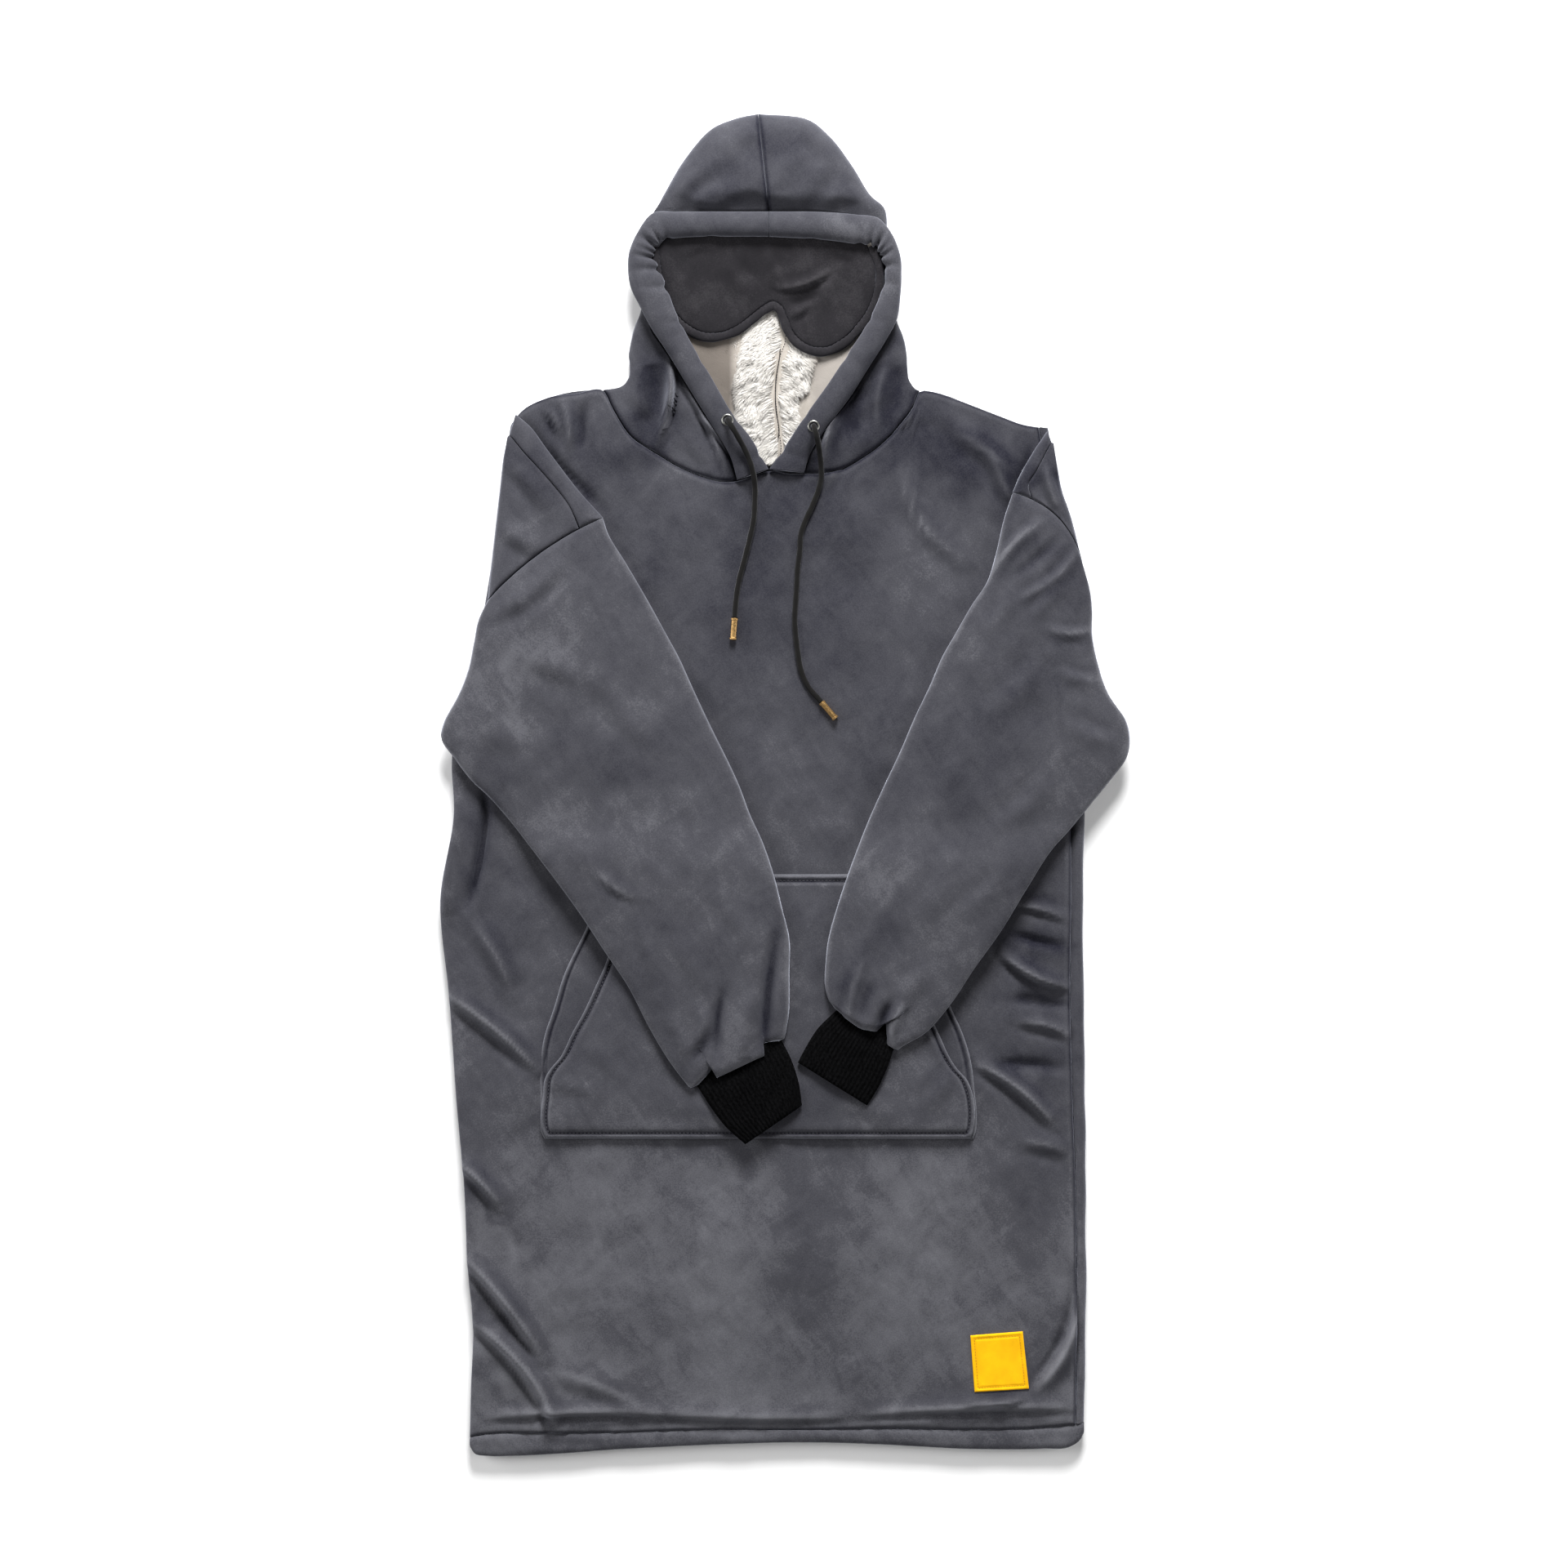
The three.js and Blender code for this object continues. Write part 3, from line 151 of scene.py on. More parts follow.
SLEEVE_CREASES = table("x0 y0 x1 y1 bend width height steep",
    (-288, 160, -212, 216, -8, 9.6, 3.9, 0.8), (-252, 122, -188, 92, 6, 12, 3.3, 0.8),
    (-262, 182, -238, 150, 5, 9, 1.8, 0.8), (-178, -80, -140, -108, -4, 7.2, 4.5, 0.6),
    (-140, -126, -130, -196, 4, 7.2, 3.9, 0.7), (-128, -60, -112, -84, 2, 10, -2, 1),
    (-214, -50, -176, -96, 5, 13, 2, 0.8), (-300, 50, -236, 32, 6, 14, 2, 0.8),
    (-180, 120, -120, 40, -10, 12.8, 3.3, 0.8), (-110, 96, -76, 20, -4, 10, 1.8, 0.8),
    (-90, -6, -50, -70, -6, 12, 1.8, 0.8), (-60, -96, -34, -150, -3, 10, 2, 0.8),
    (-72, -232, -90, -262, 3, 5, -5.4, 1), (-58, -190, -65, -262, -3, 4.4, -6.6, 1),
    (-80, -210, -84, -250, 3, 6.4, 3.6, 0.8), (-40, -262, -30, -196, 3, 8, 3.9, 0.8),
    (-6, -130, -20, -258, -3, 5, -11, 1), (-8, -236, -4, -176, 1, 4.8, 3.6, 1),
    (-110, -222, -96, -262, 3, 7.2, 3.3, 0.8), (-48, -250, -46, -226, 0, 4, -1.8, 1),
    (-30, -258, -26, -238, 0, 4, -1.8, 1), (-104, -150, -76, -196, 4, 12, 2, 0.8),
    (243, 250, 194, 196, -6, 7.2, 6.6, 0.6), (280, 226, 222, 178, 7, 6.4, 5.1, 0.6),
    (262, 238, 216, 200, 3, 4.5, -3.9, 1), (294, 150, 250, 150, 5, 5.6, 4.5, 0.6),
    (292, 138, 262, 140, 3, 4, -2, 1), (270, 190, 236, 156, -4, 7.2, 3.3, 0.8),
    (300, 100, 262, 108, 3, 6.4, 3.6, 0.7), (214, 190, 196, 150, 3, 8, 3.3, 0.8),
    (244, 120, 190, 70, 8, 12, 3.3, 0.8), (318, 40, 268, 60, 4, 8.8, 3.3, 0.8),
    (180, 60, 150, 0, 5, 13, 2, 0.8), (250, 10, 200, -40, 8, 11.2, 3.3, 0.8),
    (160, -60, 130, -130, 5, 13, 2, 0.8), (210, -80, 170, -120, 5, 10, 2, 0.8),
    (60, -222, 74, -166, 3, 7.2, 4.5, 0.8), (89, -242, 101, -206, 2, 5, -7.2, 1),
    (100, -244, 112, -206, 2, 6.4, 5.1, 0.8), (74, -224, 84, -186, 2, 5, -3.3, 1),
    (52, -218, 60, -190, 1, 4, -1.8, 1), (120, -236, 132, -196, 3, 7, -1.8, 1),
    (80, -130, 62, -176, 3, 10, 1.8, 0.8), (130, -170, 112, -204, 3, 9, 2, 0.8))
FLAT_POWER = 3.2

# Rib cuffs below the sleeves' ends
CUFF_LEFT = table("ax ay bx by",
    (-86, -283, -3, -244), (-70, -308, 6, -262), (-56, -326, 13, -284), (-38, -342, 16, -305))
CUFF_RIGHT = table("ax ay bx by",
    (104, -250, 48, -215), (96, -272, 30, -233), (88, -289, 20, -249), (78, -305, 12, -264))
CUFF_HIGH = 10.5
CUFF_RIBS = 40
RIB_RAISED = 0.9

# Shoulders folded forward: the side, the seam beside the fold and the fold's edge
SHOULDER_LEFT = table("sideX sideY seamX seamY foldX foldY",
    (-265, 332, -263, 334, -257, 354), (-269, 313, -250, 318, -243, 342),
    (-273, 278, -235, 302, -229, 323), (-277, 243, -220, 285, -214, 303),
    (-281, 208, -206, 267, -197, 281))
SHOULDER_RIGHT = table("sideX sideY seamX seamY foldX foldY",
    (256, 326, 254, 327, 250, 338), (260, 304, 246, 312, 241, 325), (265, 280, 239, 299, 233, 312),
    (273, 256, 232, 288, 225, 298))
SHOULDER_HIGH = 12.6
SHOULDER_SEAM = (0.816, 0.824)
SHOULDER_CREASES = table("x0 y0 x1 y1 bend width height steep",
    (-268, 310, -226, 262, 5, 10, 3.8, 0.8), (-270, 250, -232, 226, -4, 10, 3.4, 0.8),
    (248, 306, 262, 262, -3, 7, 4.6, 0.7), (256, 300, 268, 268, 2, 5, -3.4, 1))

# Hood: sections from the neck seam up the cheek and round to the middle of the crown
HOOD_MIDDLE = -15.5
HOOD_COLUMNS = "outX outY inX inY casing half tuck sideX sideY backY high"
HOOD_LEFT = table(HOOD_COLUMNS,
    (-46, 292, -15.9, 302, 15.8, 5.2, -0.6, -175, 378, 351, 14.6),
    (-53, 315, -31, 329, 18.2, 6, -0.6, -159, 381, 368, 17),
    (-68, 340, -48, 351, 20.5, 6.5, -0.6, -151, 388, 385, 18),
    (-92, 379, -71, 390, 22, 7, -0.6, -149, 403, 407, 18),
    (-116, 418, -93, 428, 24, 7.4, -0.6, -149, 418, 426, 18),
    (-128, 436, -99, 440, 24.7, 7.6, -0.6, -145, 436, 442, 18),
    (-138, 455, -106, 455, 25, 7.8, 9, -138, 456, 459, 17.4),
    (-148, 477, -114, 478, 25, 7.8, 14, -143, 477, 477, 17.4),
    (-150, 493, -120, 493, 25, 7.8, 14, -145, 493, 493, 17.4),
    (-149, 508, -124, 503, 25, 7.8, 14, -144, 508, 507, 17.4),
    (-142, 525, -122, 512, 26, 7.8, 14, -137, 523, 524, 17.4),
    (-126, 545, -114, 519, 28.5, 8, -0.8, -122, 553, 541, 22),
    (-104, 546, -100, 521, 30.5, 8, -0.8, -114, 569, 557, 25),
    (-79, 546, -78, 522, 31, 8, -0.8, -96, 599, 577, 32),
    (-54, 546, -54, 522, 31, 8, -0.8, -70, 628, 594, 35),
    (-35, 546, -35, 522, 31, 8, -0.8, -46, 638, 606, 36),
    (-15.6, 546, -15.6, 522, 31, 8, -0.8, -26.1, 642, 616, 37))
HOOD_RIGHT = table(HOOD_COLUMNS,
    (18, 298.7, -15.1, 302, 15.8, 5.2, -0.6, 129, 377, 351, 14.6),
    (25, 319, 4, 330, 18.2, 6, -0.6, 124, 380, 368, 17),
    (38, 339, 18, 351, 20.5, 6.5, -0.6, 119, 387, 385, 18),
    (61, 369, 41, 383, 22, 7, -0.6, 117, 400, 407, 18),
    (82, 402, 62, 415, 24, 7.4, -0.6, 116, 415, 424, 18),
    (96, 424, 74, 433, 24.7, 7.6, -0.6, 113, 429, 440, 18),
    (106, 443, 82, 448, 25, 7.8, 9, 106, 447, 457, 17.4),
    (110, 468, 91, 469, 25, 7.8, 13, 105, 468, 477, 17.4),
    (111, 485, 95, 486, 25, 7.8, 13, 106, 485, 493, 17.4),
    (110, 504, 92, 500, 25, 7.8, 13, 105, 503, 507, 17.4),
    (102, 525, 88, 508, 26, 7.8, 13, 98, 523, 524, 17.4),
    (89, 540, 82, 513, 28.5, 8, -0.8, 96, 550, 541, 22),
    (69, 543, 67, 515, 30.5, 8, -0.8, 81, 565, 557, 25),
    (46, 545, 46, 518, 31, 8, -0.8, 65, 591, 577, 32), (22, 546, 22, 520, 31, 8, -0.8, 42, 621, 594, 35),
    (3, 546, 3, 521, 31, 8, -0.8, 18, 638, 606, 36),
    (-15.3, 546, -15.3, 522, 31, 8, -0.8, -25.8, 642, 616, 37))
CURL_LEVEL = 9
HOOD_CREASES = table("x0 y0 x1 y1 bend width height steep",
    (-124, 322, -110, 406, -6.5, 5, 11.5, 0.6), (-128, 404, -132, 340, 4, 10, -9, 1),
    (-99, 386, -56, 296, 5, 5.5, 7.8, 0.6), (-90, 378, -62, 312, 4, 4, -5.2, 1),
    (-80, 352, -37, 291, 4, 5, 7.2, 0.6), (-144, 402, -134, 352, 3, 10, 3.9, 0.8),
    (-150, 384, -120, 352, -3, 9, 3.1, 0.8), (-92, 330, -76, 304, 2, 7, 2.6, 0.8),
    (60, 382, 38, 304, -7, 6, 8.5, 0.6), (72, 386, 62, 326, -4, 8, -6.5, 1),
    (96, 400, 88, 340, -4, 8, 4.4, 0.7), (110, 402, 100, 356, 2, 7, -3.9, 1),
    (33, 336, 6, 298, 3, 4, 4.7, 0.6), (24, 326, 12, 303, 2, 3, -3.1, 1),
    (90, 350, 62, 322, 3, 9, 2.9, 0.8), (-104, 560, -66, 592, 5, 12, 3.4, 0.7),
    (-90, 554, -30, 566, 4, 9, 2.8, 0.7), (-60, 600, -30, 628, 3, 12, 3, 0.8),
    (10, 560, 44, 604, -5, 12, 3.2, 0.7), (34, 554, 76, 562, 3, 8, 2.8, 0.7),
    (20, 625, 46, 592, 3, 9, 2.6, 0.8), (-36, 600, -30, 560, 2, 12, 2, 0.8),
    (0, 600, -8, 566, 2, 10, 2, 0.8))
LINING = table("y left seam right top",
    (312, -24, -13, -4, 10), (322, -36, -10, 5, 10.8), (336, -50, -6, 14, 11.4), (360, -66, -9, 28, 12),
    (387, -84, -9, 48, 12), (418, -104, -5, 68, 12), (450, -119, -11, 84, 12), (477, -122, -12, 88, 12),
    (508, -121, -12, 87, 12), (519, -117, -12, 83, 12))
LINING_SEAM = table("x y",
    (-5, 313), (-4, 322), (-6, 338), (-8, 356), (-9.5, 374), (-8, 392), (-5, 410), (0, 424), (0, 440),
    (-1, 455), (-4, 468))

# Mask panel that hangs in the opening
MASK = table("x y",
    (-120.5, 513.6), (-119.7, 501.9), (-117.4, 487.1), (-113.5, 469.2), (-104.9, 452), (-92.4, 439.5),
    (-77.6, 432.5), (-63.6, 432.5), (-48, 438), (-33.1, 448.9), (-22.2, 457.5), (-11.3, 462.2),
    (-3.5, 458.2), (2, 447.3), (6.6, 435.6), (14.4, 425.5), (26.9, 418.9), (38.6, 418.5), (53.4, 425.5),
    (66.7, 438), (78.4, 454.4), (85.4, 475.4), (85.4, 494.9), (79.2, 512.9))
MASK_TOP = ((-112, 524), (75, 522))
MASK_LEVEL = {"low": 16.2, "high": 24.5, "from": 436, "to": 522}
BINDING = {"half_width": 4.3, "half_height": 2.5, "offset": 4, "raised": 0.6}
MASK_CREASES = table("x0 y0 x1 y1 bend width height steep",
    (-6, 474, 44, 492, -5, 5, 4.8, 0.6), (2, 462, 30, 472, -4, 4.5, -3.3, 1),
    (4, 448, 22, 462, -3, 5, 3, 0.7), (50, 500, 40, 470, 3, 7, 2.4, 0.8),
    (-26, 470, -56, 500, 5, 9, 2.4, 0.8), (-98, 506, -70, 516, 3, 6, 1.5, 0.8),
    (40, 512, 70, 500, 3, 6, 1.5, 0.8), (-8, 480, -16, 512, 2, 7, 1.4, 0.8))

# Pouch pocket
POCKET_BACKING = table("y left right",
    (-338, -230, 180), (-332, -233, 182), (-315, -234, 183), (-293, -234, 181), (-262, -234, 177),
    (-236, -229, 169), (-216, -222, 160), (-183, -212, 146), (-136, -190, 130), (-85, -169, 112))
POCKET_FRONT = table("y left right",
    (-337, -228, 177), (-331, -231, 179), (-292, -231, 178), (-282, -230, 174), (-272, -225, 165),
    (-260, -215, 157), (-236, -203, 146), (-216, -192, 136), (-192, -181, 124), (-166, -170, 112),
    (-86, -164, 104))
POCKET_CREASES = table("x0 y0 x1 y1 bend width height steep",
    (-224, -286, -176, -300, 4, 8, 1.8, 0.7), (-196, -246, -150, -290, 5, 9, 1.6, 0.8),
    (-120, -300, -60, -322, 5, 14, 1.4, 0.8), (40, -300, 110, -322, 5, 12, 1.4, 0.8),
    (160, -268, 128, -310, 4, 8, 2, 0.7), (134, -220, 150, -270, 3, 8, 1.6, 0.8),
    (20, -110, 26, -190, 3, 14, 1.2, 0.9), (-20, -290, 30, -296, 4, 12, 1.3, 0.8))

# Soft patches of brushed nap, with painted shade where they mark hollows (cheeks, neck, shoulder folds): the
# middle of a patch, its length, width and turn, and its shade
NAP_AND_PAINTED_SHADE = table("x y length width turn shade",
    (150, 312, 46, 20, -0.6, -0.9), (118, 296, 40, 12, 0.5, 0.7), (-140, 330, 44, 18, 1, -0.6),
    (-122, 356, 46, 12, 1.5, -1.1), (94, 398, 44, 13, 1.1, -1), (-30, 215, 120, 34, 1.5, -0.5),
    (70, 230, 80, 30, 1.2, -0.35), (-128, 202, 24, 13, 0.9, -0.8), (-205, 20, 120, 26, 0.2, -0.4),
    (-150, 20, 60, 16, -0.7, -0.45), (-245, 110, 60, 26, 0.9, 0.4), (-120, 90, 60, 16, 1.1, 0.35),
    (-292, -40, 60, 14, 1.4, -0.9), (-80, 590, 70, 60, 0.8, -0.5), (0, 590, 70, 50, 0.8, -0.25),
    (-130, 366, 46, 12, 1.55, -1.2), (-185, 330, 34, 12, 1.3, -1), (-176, 300, 40, 14, 1.1, -0.8),
    (225, 290, 40, 12, 1.2, -0.8), (180, 320, 50, 18, -0.4, -0.4), (-160, -262, 70, 20, -0.3, -0.5),
    (-120, -300, 60, 16, 0.2, -0.3), (30, -300, 60, 22, 0.3, -0.45), (140, -290, 60, 14, 0.9, -0.5),
    (24, -440, 170, 30, 1.5, -0.5), (-60, -500, 150, 34, 1.45, 0.3), (100, -430, 150, 34, 1.55, 0.3),
    (-190, -430, 150, 30, 1.3, 0.25), (240, -150, 46, 13, -0.1, -0.9), (235, -205, 46, 11, -0.2, -0.8),
    (240, -262, 44, 12, 0, -0.8), (236, -400, 80, 26, 1.4, -0.35), (-270, -150, 60, 24, 1.2, -0.45),
    (-292, -300, 60, 20, 1.4, -0.3), (-268, -440, 60, 12, -0.9, 0.5), (-250, -566, 70, 14, -0.8, 0.5),
    (-292, -396, 40, 9, -0.7, -0.7), (-292, -500, 40, 10, -0.9, -0.8), (-276, -580, 40, 10, -0.9, -0.7),
    (190, 20, 90, 18, 0.9, -0.5), (230, 90, 60, 18, 0.7, -0.5), (170, 120, 60, 14, 1, 0.3),
    (120, -60, 80, 14, 1, 0.35), (90, -150, 60, 18, 1, -0.4), (250, 200, 40, 14, 0.8, -0.6),
    (60, -196, 24, 12, 0.4, -0.5), (-40, -200, 60, 12, 1.4, 0.4), (-90, -150, 70, 18, -0.8, -0.3),
    (-60, 570, 60, 18, 0.8, -0.5), (10, 590, 50, 20, -0.9, -0.6), (-90, 570, 40, 14, 0.9, 0.3),
    (60, 560, 34, 14, -0.9, -0.5), (0, -130, 60, 30, 0, -0.3), (-30, -240, 190, 80, 0, -0.2),
    (-160, 250, 60, 16, 1.1, -0.4), (90, 60, 70, 24, 1.3, -0.4), (-10, 60, 90, 26, 1.6, 0.25),
    (-70, -350, 90, 14, 0, -0.25), (230, -560, 60, 20, 1.2, -0.3), (-30, -590, 200, 10, 0, 0.35),
    (-238, 290, 50, 16, -0.9, -0.5), (-250, 240, 40, 16, 0.6, 0.3), (-30, 500, 50, 16, 0.3, -0.6),
    (30, 480, 40, 14, -0.8, 0.4), (-80, 470, 30, 14, 0.8, 0.3), (-10, 220, 170, 110, 1.57, -1.05),
    (-130, 370, 50, 26, 1.5, -0.8), (100, 372, 50, 26, 1.6, -0.8), (210, 60, 200, 90, 1, -0.62),
    (-190, 40, 230, 90, -1, -0.28), (0, -470, 300, 150, 0, 0.4), (190, 320, 90, 44, -0.3, -1.05),
    (-205, 330, 60, 40, -0.6, -0.4), (240, -190, 130, 50, 1.5, -0.5), (0, 534, 110, 9, 0, 0.2),
    (-290, -80, 90, 26, 1.4, -0.5), (-245, 280, 60, 30, -0.9, -0.3))

# Bare label patch: its left and its right edge, from the top to the foot
LABEL = table("x0 y0 x1 y1", (177, -526, 181, -580), (227, -522, 233, -577))
LABEL_THICK = 1.6
LABEL_CLEAR = 0.5

# Drawcords, their metal tips and their eyelets
CORD_RADIUS = 2.75
CORD_LEFT = table("x y z",
    (-55, 348, 28.4), (-54.7, 347.3, 31.2), (-52.9, 344, 34.5), (-49.3, 338.4, 35.8), (-44.8, 331, 33.6),
    (-39.9, 322.4, 29.9), (-35.4, 313, 27.2), (-31.8, 302.5, 25.2), (-29.6, 292.6, 22.2),
    (-28.8, 283, 18.9), (-29, 272, 17.6), (-30, 255, 17.5), (-34, 235, 17.5), (-39, 215, 17.5),
    (-44, 196, 17.5), (-47, 177, 17.5), (-48.3, 160, 17.7))
CORD_RIGHT = table("x y z",
    (27, 342, 28.2), (27.2, 341.3, 31), (28.2, 338, 34.2), (29.8, 332.4, 35.2), (31.5, 325, 32.2),
    (33, 316, 26.8), (34.2, 305.6, 21.8), (34.4, 294, 18.8), (31, 280, 17.6), (25, 265, 17.5),
    (19, 252, 17.5), (15, 240, 17.5), (14, 225, 17.5), (12, 209, 17.5), (11, 191, 17.5), (10, 175, 17.5),
    (9, 160, 17.5), (10, 144, 17.5), (12, 127, 17.5), (15, 110, 17.5), (22, 94, 17.6), (34.4, 79.6, 17.8))
EYELETS = table("x y z", (-55, 348, 27.8), (27, 342, 27.6))

# Camera: straight above the cloth, its frame as wide as the picture
PIXEL = 0.78
PICTURE = 1920
MIDDLE_PIXEL = 961.5
LENS = 85
SENSOR = 36
CLOTH_LEVEL = 18
CLIP_END = 20


def place_camera():
    data = bpy.data.cameras.new("camera")
    data.lens = LENS
    data.sensor_width = SENSOR
    data.clip_end = CLIP_END
    camera = bpy.data.objects.new("camera", data)
    off = (PICTURE / 2 - MIDDLE_PIXEL) * PIXEL
    away = LENS / SENSOR * PICTURE * PIXEL + CLOTH_LEVEL
    camera.location = (off * MM, -off * MM, away * MM)
    bpy.context.scene.collection.objects.link(camera)
    bpy.context.scene.camera = camera


# Points from their columns, each a number or an array
def spots(*columns):
    return np.stack(np.broadcast_arrays(*columns), axis=-1)


# Points from named columns of a table
def points_of(rows, names):
    return spots(*(rows[name] for name in names.split()))


def middle_line(rows, first, second):
    return (points_of(rows, first) + points_of(rows, second)) / 2


# The length along a chain of points, up to each of them
def knots_of(route):
    steps = np.linalg.norm(np.diff(route, axis=0), axis=1)
    return np.concatenate([[0], np.cumsum(steps)])


# Rows of values read at shares of the way along them, on a smooth curve through every row
def smooth_rows(values, knots, shares):
    slopes = np.gradient(values, knots, axis=0)
    at = shares * knots[-1]
    i = np.clip(np.searchsorted(knots, at, side="right") - 1, 0, len(knots) - 2)
    shape = (-1,) + (1,) * (values.ndim - 1)
    span = (knots[i + 1] - knots[i]).reshape(shape)
    t = (at - knots[i]).reshape(shape) / span
    start = (1 + 2 * t) * (1 - t) ** 2 * values[i] + t * (1 - t) ** 2 * span * slopes[i]
    return start + t * t * (3 - 2 * t) * values[i + 1] + t * t * (t - 1) * span * slopes[i + 1]


# The same for a table, along the line that its measured columns draw
def smooth(rows, measured, shares):
    fine = smooth_rows(spots(*rows.values()), knots_of(points_of(rows, measured)), shares)
    return dict(zip(rows, fine.T))


READER_STEPS = 700


# A column as a function of another, on a smooth curve
def reader(rows, key, column):
    fine = smooth(rows, key + " " + column, np.linspace(0, 1, READER_STEPS))
    return lambda at: np.interp(at, fine[key], fine[column])


# Points at shares of the length of a chain of points
def along(points, shares):
    knots = knots_of(points)
    at = np.asarray(shares) * knots[-1]
    return spots(*(np.interp(at, knots, points[:, k]) for k in range(points.shape[1])))


def smoothstep(value, start, end):
    t = np.clip((value - start) / (end - start), 0, 1)
    return t * t * (3 - 2 * t)


def roundness(u, power):
    return np.clip(1 - np.abs(u) ** power, 0, 1) ** (1 / power)


# How far a rounded edge lies below the cloth, at a distance in from it
def soft_edge(away, reach, drop):
    t = np.clip(1 - away / reach, 0, 1)
    return drop * (1 - np.sqrt(1 - t * t))


# Each edge's rounding: how far in from it the cloth starts to fall, and how far it falls
ROUND = {
    "seam": (6.5, 3.6), "side": (9, 4.6), "back side": (6, 3.4), "back ends": (5, 2), "hem foot": (7, 3.6),
    "hem ends": (5, 1.6), "sleeve end": (8, 3.4), "cuff end": (4, 2.4), "hood middle": (7, 3.4),
    "casing end": (4, 1.6), "lining seam": (6, 2), "lining side": (5, 1.6), "mask cushion": (18, 1),
    "mask edge": (3, 1.8), "label": (1.6, 0.9)}


def rounded(edge, away):
    return soft_edge(away, *ROUND[edge])


# Shares of a width, close together near its two ends
NEAR_EDGE = np.array([0, 0.5, 1.2, 2.2, 3.5, 5.2, 7.4, 10])
EDGE_GAP = 2

# Each mesh grid's width across its lines and the step between them
GRID = {
    "back rows": (963, 7.4), "back columns": (570, 7), "hem rows": (40, 3), "hem columns": (600, 3.6),
    "sleeve rows": (530, 4.2), "cuff rows": (92, 2.2), "lining rows": (212, 4), "lining columns": (110, 3),
    "mask rows": (90, 2.4)}
STEP = {
    "shoulder": 3, "hood": 3.6, "casing": 1.9, "mask": 2.2, "binding": 1.6, "pocket": 4.2, "pocket layer": 7}
FRONT_ROWS = ((0, 540, 3.3), (540, 963, 5))
FRONT_COLUMNS = ((0, 150, 3.1), (150, 490, 6), (490, 590, 3.1))


def spread(width, step):
    inside = np.arange(NEAR_EDGE[-1] + step, width - NEAR_EDGE[-1] - step / 2, step)
    return np.concatenate([NEAR_EDGE, inside, width - NEAR_EDGE[::-1]]) / width


# The same with a step of its own in each zone
def graded(zones):
    width = zones[-1][1]
    inside = np.concatenate([np.arange(start, end, step) for start, end, step in zones])
    margin = NEAR_EDGE[-1] + EDGE_GAP
    inside = inside[(inside > margin) & (inside < width - margin)]
    return np.concatenate([NEAR_EDGE, inside, width - NEAR_EDGE[::-1]]) / width


TUBE_STEPS = 4001


# Even places round a flattened tube: u across it and lift from its lowest to its highest side
def tube_ring(count, width, height, power):
    angle = np.linspace(0, 2 * math.pi, TUBE_STEPS)
    u = -np.sign(np.cos(angle)) * np.abs(np.cos(angle)) ** (2 / power)
    lift = np.sign(np.sin(angle)) * np.abs(np.sin(angle)) ** (2 / power)
    ring = along(np.stack([u * width / 2, lift * height / 2], axis=1), np.arange(count) / count)
    return ring[:, 0] * 2 / width, ring[:, 1] * 2 / height


# The height that a table of creases adds: each rises along its line, with a hollow on its steeper side
CREASE_STEPS = 8
CREASE_END = 0.02
CREASE_TAPER = 0.6
HOLLOW = {"share": 0.4, "out": 1.7, "wide": 0.7}


# For each crease how near each place is, on which side, and how much of the height is left towards its ends
def crease_lines(creases, x, y):
    for x0, y0, x1, y1, bend, width, height, steep in zip(*creases.values()):
        run = np.array([x1 - x0, y1 - y0])
        aside = np.array([-run[1], run[0]]) / np.linalg.norm(run)
        shares = np.linspace(0, 1, CREASE_STEPS + 1)
        bent = 4 * bend * shares * (1 - shares)
        line = np.array([x0, y0]) + shares[:, None] * run + bent[:, None] * aside
        near = np.full(x.shape, np.inf)
        side = np.ones_like(x)
        share = np.zeros_like(x)
        for i in range(CREASE_STEPS):
            dx, dy = line[i + 1] - line[i]
            t = np.clip(((x - line[i, 0]) * dx + (y - line[i, 1]) * dy) / (dx * dx + dy * dy), 0, 1)
            ox, oy = x - line[i, 0] - t * dx, y - line[i, 1] - t * dy
            away = np.hypot(ox, oy)
            closer = away < near
            near = np.where(closer, away, near)
            side = np.where(closer, np.sign(dx * oy - dy * ox), side)
            share = np.where(closer, (i + t) / CREASE_STEPS, share)
        share = np.clip(share, CREASE_END, 1 - CREASE_END)
        yield width, height, steep, near, side, np.sin(np.pi * share) ** CREASE_TAPER


def creases_at(creases, x, y):
    total = np.zeros_like(x)
    for width, height, steep, near, side, taper in crease_lines(creases, x, y):
        across = near / width / np.where(side < 0, steep, 1)
        ridge = np.exp(-across * across)
        if steep < 1:
            out = (across - HOLLOW["out"]) / HOLLOW["wide"]
            ridge = ridge - np.where(side < 0, HOLLOW["share"] * np.exp(-out * out), 0)
        total += height * ridge * taper
    return total


# Painted highlight along the rim of a raised fold, and painted shade in a band behind it and along a sunk
# crease
PAINTED_RIM_AND_SHADE = {"height": 4, "full": 9, "light": 1.7, "width": 2.6, "dark": 1, "behind": 9, "soft": 5.5}


def fold_painted_light(creases, x, y):
    total = np.zeros_like(x)
    for width, height, steep, near, side, taper in crease_lines(creases, x, y):
        share = taper * min(1, abs(height) / PAINTED_RIM_AND_SHADE["full"])
        if steep < 1 and height > PAINTED_RIM_AND_SHADE["height"]:
            total += share * PAINTED_RIM_AND_SHADE["light"] * np.exp(-(near / PAINTED_RIM_AND_SHADE["width"]) ** 2)
            behind = PAINTED_RIM_AND_SHADE["dark"] * np.exp(-((near - PAINTED_RIM_AND_SHADE["behind"]) / PAINTED_RIM_AND_SHADE["soft"]) ** 2)
            total -= np.where(side > 0, share * behind, 0)
        elif height < -PAINTED_RIM_AND_SHADE["height"] / 2:
            total -= share * PAINTED_RIM_AND_SHADE["light"] * np.exp(-(near / width) ** 2)
    return total


# The brushed nap's tone, with painted shade where the patches lie in hollows: soft patches with uneven edges
NAP_LIMIT = 1.5


